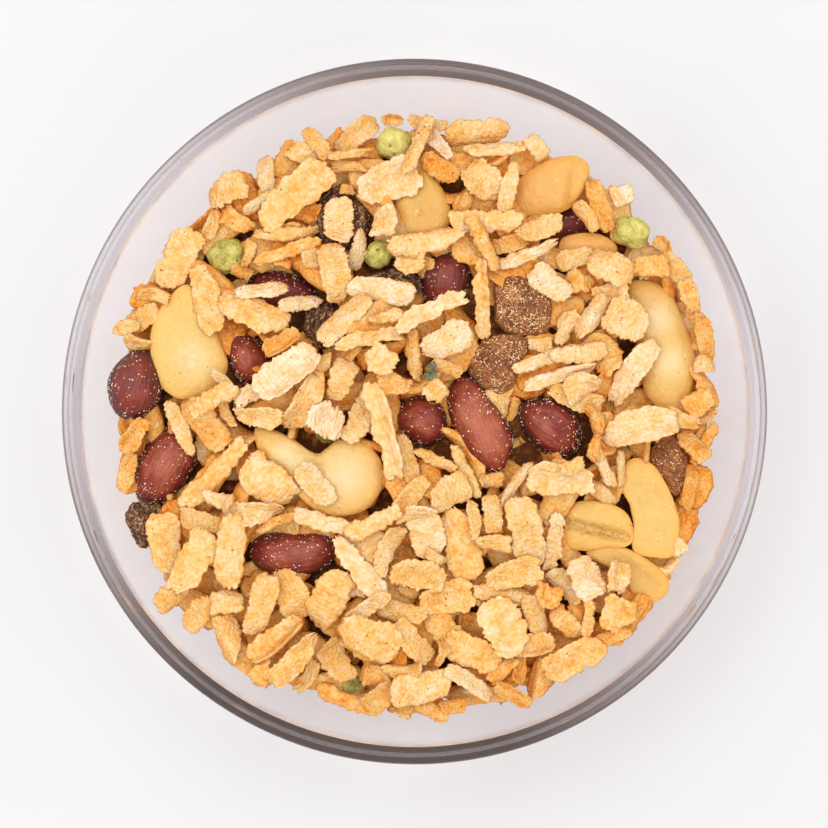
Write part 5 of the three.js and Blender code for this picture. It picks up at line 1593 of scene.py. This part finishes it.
def pressed_places(sizes, draw, forms):
    """Flakes lying flat against the glass, up the wall and over the floor."""
    wall = inner_wall(sizes, 400)
    slope = np.gradient(wall[:, 0], wall[:, 1])
    laid = []
    for height in np.arange(sizes.floor_thickness / MM + 2.6, 35.0, 2.9):
        spread = 0.25 if height > 33 else 3.0
        radius = float(np.interp(height, wall[:, 1], wall[:, 0]))
        lean = math.atan(float(np.interp(height, wall[:, 1], slope)))
        count = int(2 * math.pi * radius / 6.6)
        for step in range(count):
            angle = (step + draw.uniform(-0.35, 0.35)) / count * 2 * math.pi
            index = int(draw.integers(0, len(forms)))
            out = Vector(
                (math.cos(lean) * math.cos(angle), math.cos(lean) * math.sin(angle), -math.sin(lean)))
            tip = Vector([draw.normal(0, 0.1) for _ in range(3)])
            facing = (out + tip).normalized().to_track_quat("Z", "Y").to_matrix()
            turn = facing @ Euler((0, 0, draw.normal(0, spread))).to_matrix()
            reach = (forms[index].points @ np.array(turn).T @ np.array(out)).max()
            at = Vector(
                (radius * math.cos(angle), radius * math.sin(angle), height + draw.uniform(-0.8, 0.8)))
            at = at - out * (reach + draw.exponential(0.35) - 0.15)
            if height > 30:
                at = at * (1 - 0.055 * max(math.sin(angle), 0) ** 4)
            # Flakes low on the wall take a paler tone: painted light, where little light reaches them through
            # the glass.
            tone = draw.uniform(0.3, 0.8) + (0.2 if height < 30 else 0)
            laid.append(("pressed", index, tuple(at), tuple(turn.to_euler()), (1, 1, 1), tone))
    for step in range(70):
        radius, angle = 26 * math.sqrt((step + 0.5) / 70), 2.39996 * step
        index = int(draw.integers(0, len(forms)))
        turn = Euler((draw.normal(0, 0.12), draw.normal(0, 0.12), draw.uniform(0, 6.3)))
        low = (forms[index].points @ np.array(turn.to_matrix()).T)[:, 2].min()
        at = (radius * math.cos(angle), radius * math.sin(angle), sizes.floor_thickness / MM - low + 0.05)
        laid.append(("pressed", index, at, tuple(turn), (1, 1, 1), draw.uniform(0.3, 0.8)))
    return laid


class SNACK_OT_heap(bpy.types.Operator):
    """Heap the toasted flakes over their core"""

    bl_idname = "snack.heap"
    bl_label = "Heap of flakes"

    def execute(self, context):
        scene = context.scene
        sizes, heap, colours = scene.snack_bowl, scene.snack_heap, scene.snack_colours
        draw = np.random.default_rng(heap.seed)
        finish = flake_finish(colours)
        # The lower flakes and the core take darker copies of the flake finish: painted shade, deepest on the
        # core's top, which shows in the gaps.
        lower = flake_finish(colours, "Lower flakes in painted shade", painted_shade=0.08)
        deep = flake_finish(colours, "Deep flakes in painted shade", painted_shade=0.3, light=0.17)
        core = revolve("flake_core", core_outline(sizes, heap), 160, deep)
        rough_core(core.data, 1.2, (deep, lower))
        enter_piece(core, "rice_flake", "flake_heap")
        forms = {
            kind: [FlakeForm(row, draw, 13 * number + 200 * step) for number in range(row["forms"])]
            for step, (kind, row) in enumerate(FLAKE_KINDS.items())}
        relief = Relief(sizes, heap)
        for node in (*PEANUTS, *CASHEWS, *GOLDEN_RAISINS, *DARK_RAISINS, *PEAS):
            mesh = bpy.data.objects[f"{node}_piece"].data
            points = np.empty(len(mesh.vertices) * 3)
            mesh.vertices.foreach_get("co", points)
            relief.add_large_piece(points.reshape(-1, 3) / MM)
        laid = pressed_places(sizes, draw, forms["pressed"])
        # Buried flakes take the lower flakes' finish and darker tones: painted shade.
        laid += scatter(relief, forms, {"buried": 1.0}, draw, heap.buried_flakes, -3.2, (0.2, 0.45))
        laid += lay_shown(relief, forms, draw)
        laid += scatter(
            relief, forms, {"broken": 0.65, "slim": 0.35}, draw, heap.top_flakes, -0.35, (0.35, 0.5))
        leaf = FlakeForm(LEAF_BIT, np.random.default_rng(7), 3)
        spot = np.array([*LEAF_PLACE, 0.0])
        rest = relief.settle(leaf.skin((1, 1, 1)), spot, shown_turns(draw, LEAF_TURN), True, 1)
        bit = lay_flakes("leaf_bit", [leaf], [("leaf", 0, *rest, (1, 1, 1), 0.5)], leaf_finish())
        enter_piece(bit, "rice_flake", "flake_heap")
        for kind in FLAKE_KINDS:
            rows = [row for row in laid if row[0] == kind]
            obj = lay_flakes(f"{kind}_flakes", forms[kind], rows, lower if kind == "buried" else finish)
            enter_piece(obj, "rice_flake", "flake_heap")
        return {"FINISHED"}


# Salt, crystals and spice


class SNACK_OT_seasoning(bpy.types.Operator):
    """Sprinkle salt on the peanuts, crumbs on the cashews, sugar on the raisins and spice on the flakes"""

    bl_idname = "snack.seasoning"
    bl_label = "Seasoning"

    def execute(self, context):
        salt = grain_finish("Salt grains", (0.97, 0.87, 0.68), (0.66, 0.42, 0.23), 0.35)
        sugar = grain_finish("Sugar crystals", (0.92, 0.63, 0.34), (0.46, 0.22, 0.09), 0.3)
        crumb = grain_finish("Flake crumbs", (0.95, 0.78, 0.52), (0.80, 0.48, 0.18), 0.7)
        spice = grain_finish("Ground spice", (0.30, 0.08, 0.03), (0.05, 0.025, 0.015), 0.8)
        flakes = [bpy.data.objects[name] for name in ("broad_flakes", "slim_flakes", "broken_flakes")]
        self.sprinkle(
            "salt_grains", self.pieces(PEANUTS), salt, "peanut_skin", 2.5e6, (0.0001, 0.00034), 0.06, 5)
        self.sprinkle(
            "cashew_crumbs", self.pieces(CASHEWS), crumb, "cashew", 1.4e5, (0.00012, 0.0003), 0.2, 6)
        self.sprinkle("raisin_crystals", self.pieces(GOLDEN_RAISINS), sugar, "golden_raisin",
                      1.3e7, (0.0001, 0.00036), 0.0, 7)
        self.sprinkle(
            "raisin_dust", self.pieces(DARK_RAISINS), sugar, "dark_raisin", 2.2e6, (0.0001, 0.00024), -0.2, 8)
        self.sprinkle("spice_grains", flakes, spice, "rice_flake", 1.6e5, (0.00014, 0.00034), 0.1, 9, "lump")
        return {"FINISHED"}

    @staticmethod
    def pieces(nodes):
        return [bpy.data.objects[f"{node}_piece"] for node in nodes]

    @staticmethod
    def sprinkle(name, carriers, finish, slot, density, grain, facing, seed, where="grains"):
        joined = bmesh.new()
        for carrier in carriers:
            joined.from_mesh(carrier.data)
        base = bpy.data.meshes.new(name)
        joined.to_mesh(base)
        joined.free()
        obj = grow(name, base, shared_tree("Sprinkle grains", sprinkle_tree), {
            "Density": density, "Smallest": grain[0], "Largest": grain[1], "Lowest Facing": facing,
            "Lowest Height": 0.033, "Thick Where": where, "Seed": seed, "Finish": finish})
        enter_piece(obj, slot)


# Table, light and camera


class SNACK_OT_stage(bpy.types.Operator):
    """Set the pale table, the soft light and the camera"""

    bl_idname = "snack.stage"
    bl_label = "Table, light and camera"

    def execute(self, context):
        scene = context.scene
        settings, bowl = scene.snack_stage, scene.snack_bowl
        self.lay_table(settings)
        self.hang_light(settings)
        self.set_sky(scene, settings)
        self.aim_camera(scene, settings, bowl)
        scene.view_settings.view_transform = "Standard"
        return {"FINISHED"}

    @staticmethod
    def lay_table(settings):
        mesh = bpy.data.meshes.new("table_top")
        half, below = 1.2, -0.00002
        mesh.from_pydata(
            [(-half, -half, below), (half, -half, below), (half, half, below), (-half, half, below)], [],
            [(0, 1, 2, 3)])
        mesh.materials.append(table_finish(tuple(settings.table)))
        link_object(bpy.data.objects.new("table_top", mesh))

    @staticmethod
    def hang_light(settings):
        place = Vector((-0.06, 0.06, 0.88))
        lamp = bpy.data.lights.new("key_light", "AREA")
        lamp.shape = "DISK"
        lamp.size = 1.0
        lamp.energy = settings.key_power
        lamp.color = (1.0, 0.99, 0.975)
        obj = link_object(bpy.data.objects.new("key_light", lamp))
        obj.location = place
        obj.rotation_euler = (-place).to_track_quat("-Z", "Y").to_euler()

    @staticmethod
    def set_sky(scene, settings):
        world = bpy.data.worlds.new("soft_room")
        scene.world = world
        world.use_nodes = True
        tree = world.node_tree
        tree.nodes.clear()
        up = add_node(tree, "ShaderNodeSeparateXYZ", {
            0: add_node(tree, "ShaderNodeTexCoord").outputs["Generated"]})
        level = ramp(tree, up.outputs[2], [
            (0.0, (0.72, 0.58, 0.50)), (0.35, (0.84, 0.77, 0.73)), (0.8, (1.0, 0.995, 0.995))])
        aside = calculate(tree, "MULTIPLY", up.outputs[0], up.outputs[0])
        colour = tint(tree, calculate(tree, "MULTIPLY", aside, 0.6), level, (1.0, 0.96, 0.95))
        sky = add_node(tree, "ShaderNodeBackground", {"Color": colour, "Strength": settings.sky})
        add_node(tree, "ShaderNodeOutputWorld", {"Surface": sky.outputs[0]})

    @staticmethod
    def aim_camera(scene, settings, bowl):
        """Looks straight down, with the rim where the picture has it."""
        per_pixel = bowl.rim_radius / PICTURE_RIM_RADIUS
        lens = bpy.data.cameras.new("camera")
        lens.sensor_width = 36
        lens.lens = lens.sensor_width * settings.camera_height / (PICTURE_SIDE * per_pixel)
        lens.clip_start = 0.01
        camera = link_object(bpy.data.objects.new("camera", lens))
        half = PICTURE_SIDE / 2
        camera.location = (
            (half - PICTURE_BOWL_MIDDLE[0]) * per_pixel, (PICTURE_BOWL_MIDDLE[1] - half) * per_pixel,
            bowl.height + settings.camera_height)
        scene.camera = camera


class SNACK_PT_mix(bpy.types.Panel):
    """Lists the steps that build the bowl of snack mix"""

    bl_label = "Snack mix"
    bl_idname = "SNACK_PT_mix"
    bl_space_type = "VIEW_3D"
    bl_region_type = "UI"
    bl_category = "Snack mix"

    def draw(self, context):
        for operator in OPERATORS:
            self.layout.operator(operator.bl_idname)
        for name, group in SETTING_GROUPS.items():
            box = self.layout.box()
            for field in group.__annotations__:
                box.prop(getattr(context.scene, name), field)


OPERATORS = (
    SNACK_OT_stage,
    SNACK_OT_bowl,
    SNACK_OT_peanuts,
    SNACK_OT_cashews,
    SNACK_OT_raisins,
    SNACK_OT_peas,
    SNACK_OT_heap,
    SNACK_OT_seasoning,
)


def register():
    for group in (*SETTING_GROUPS.values(), *OPERATORS, SNACK_PT_mix):
        bpy.utils.register_class(group)
    for name, group in SETTING_GROUPS.items():
        setattr(bpy.types.Scene, name, PointerProperty(type=group))


def unregister():
    for name in SETTING_GROUPS:
        delattr(bpy.types.Scene, name)
    for group in reversed((*SETTING_GROUPS.values(), *OPERATORS, SNACK_PT_mix)):
        bpy.utils.unregister_class(group)


def main():
    register()
    bpy.ops.snack.stage()
    bpy.ops.snack.bowl()
    bpy.ops.snack.peanuts()
    bpy.ops.snack.cashews()
    bpy.ops.snack.raisins()
    bpy.ops.snack.peas()
    bpy.ops.snack.heap()
    bpy.ops.snack.seasoning()


if __name__ == "__main__":
    main()
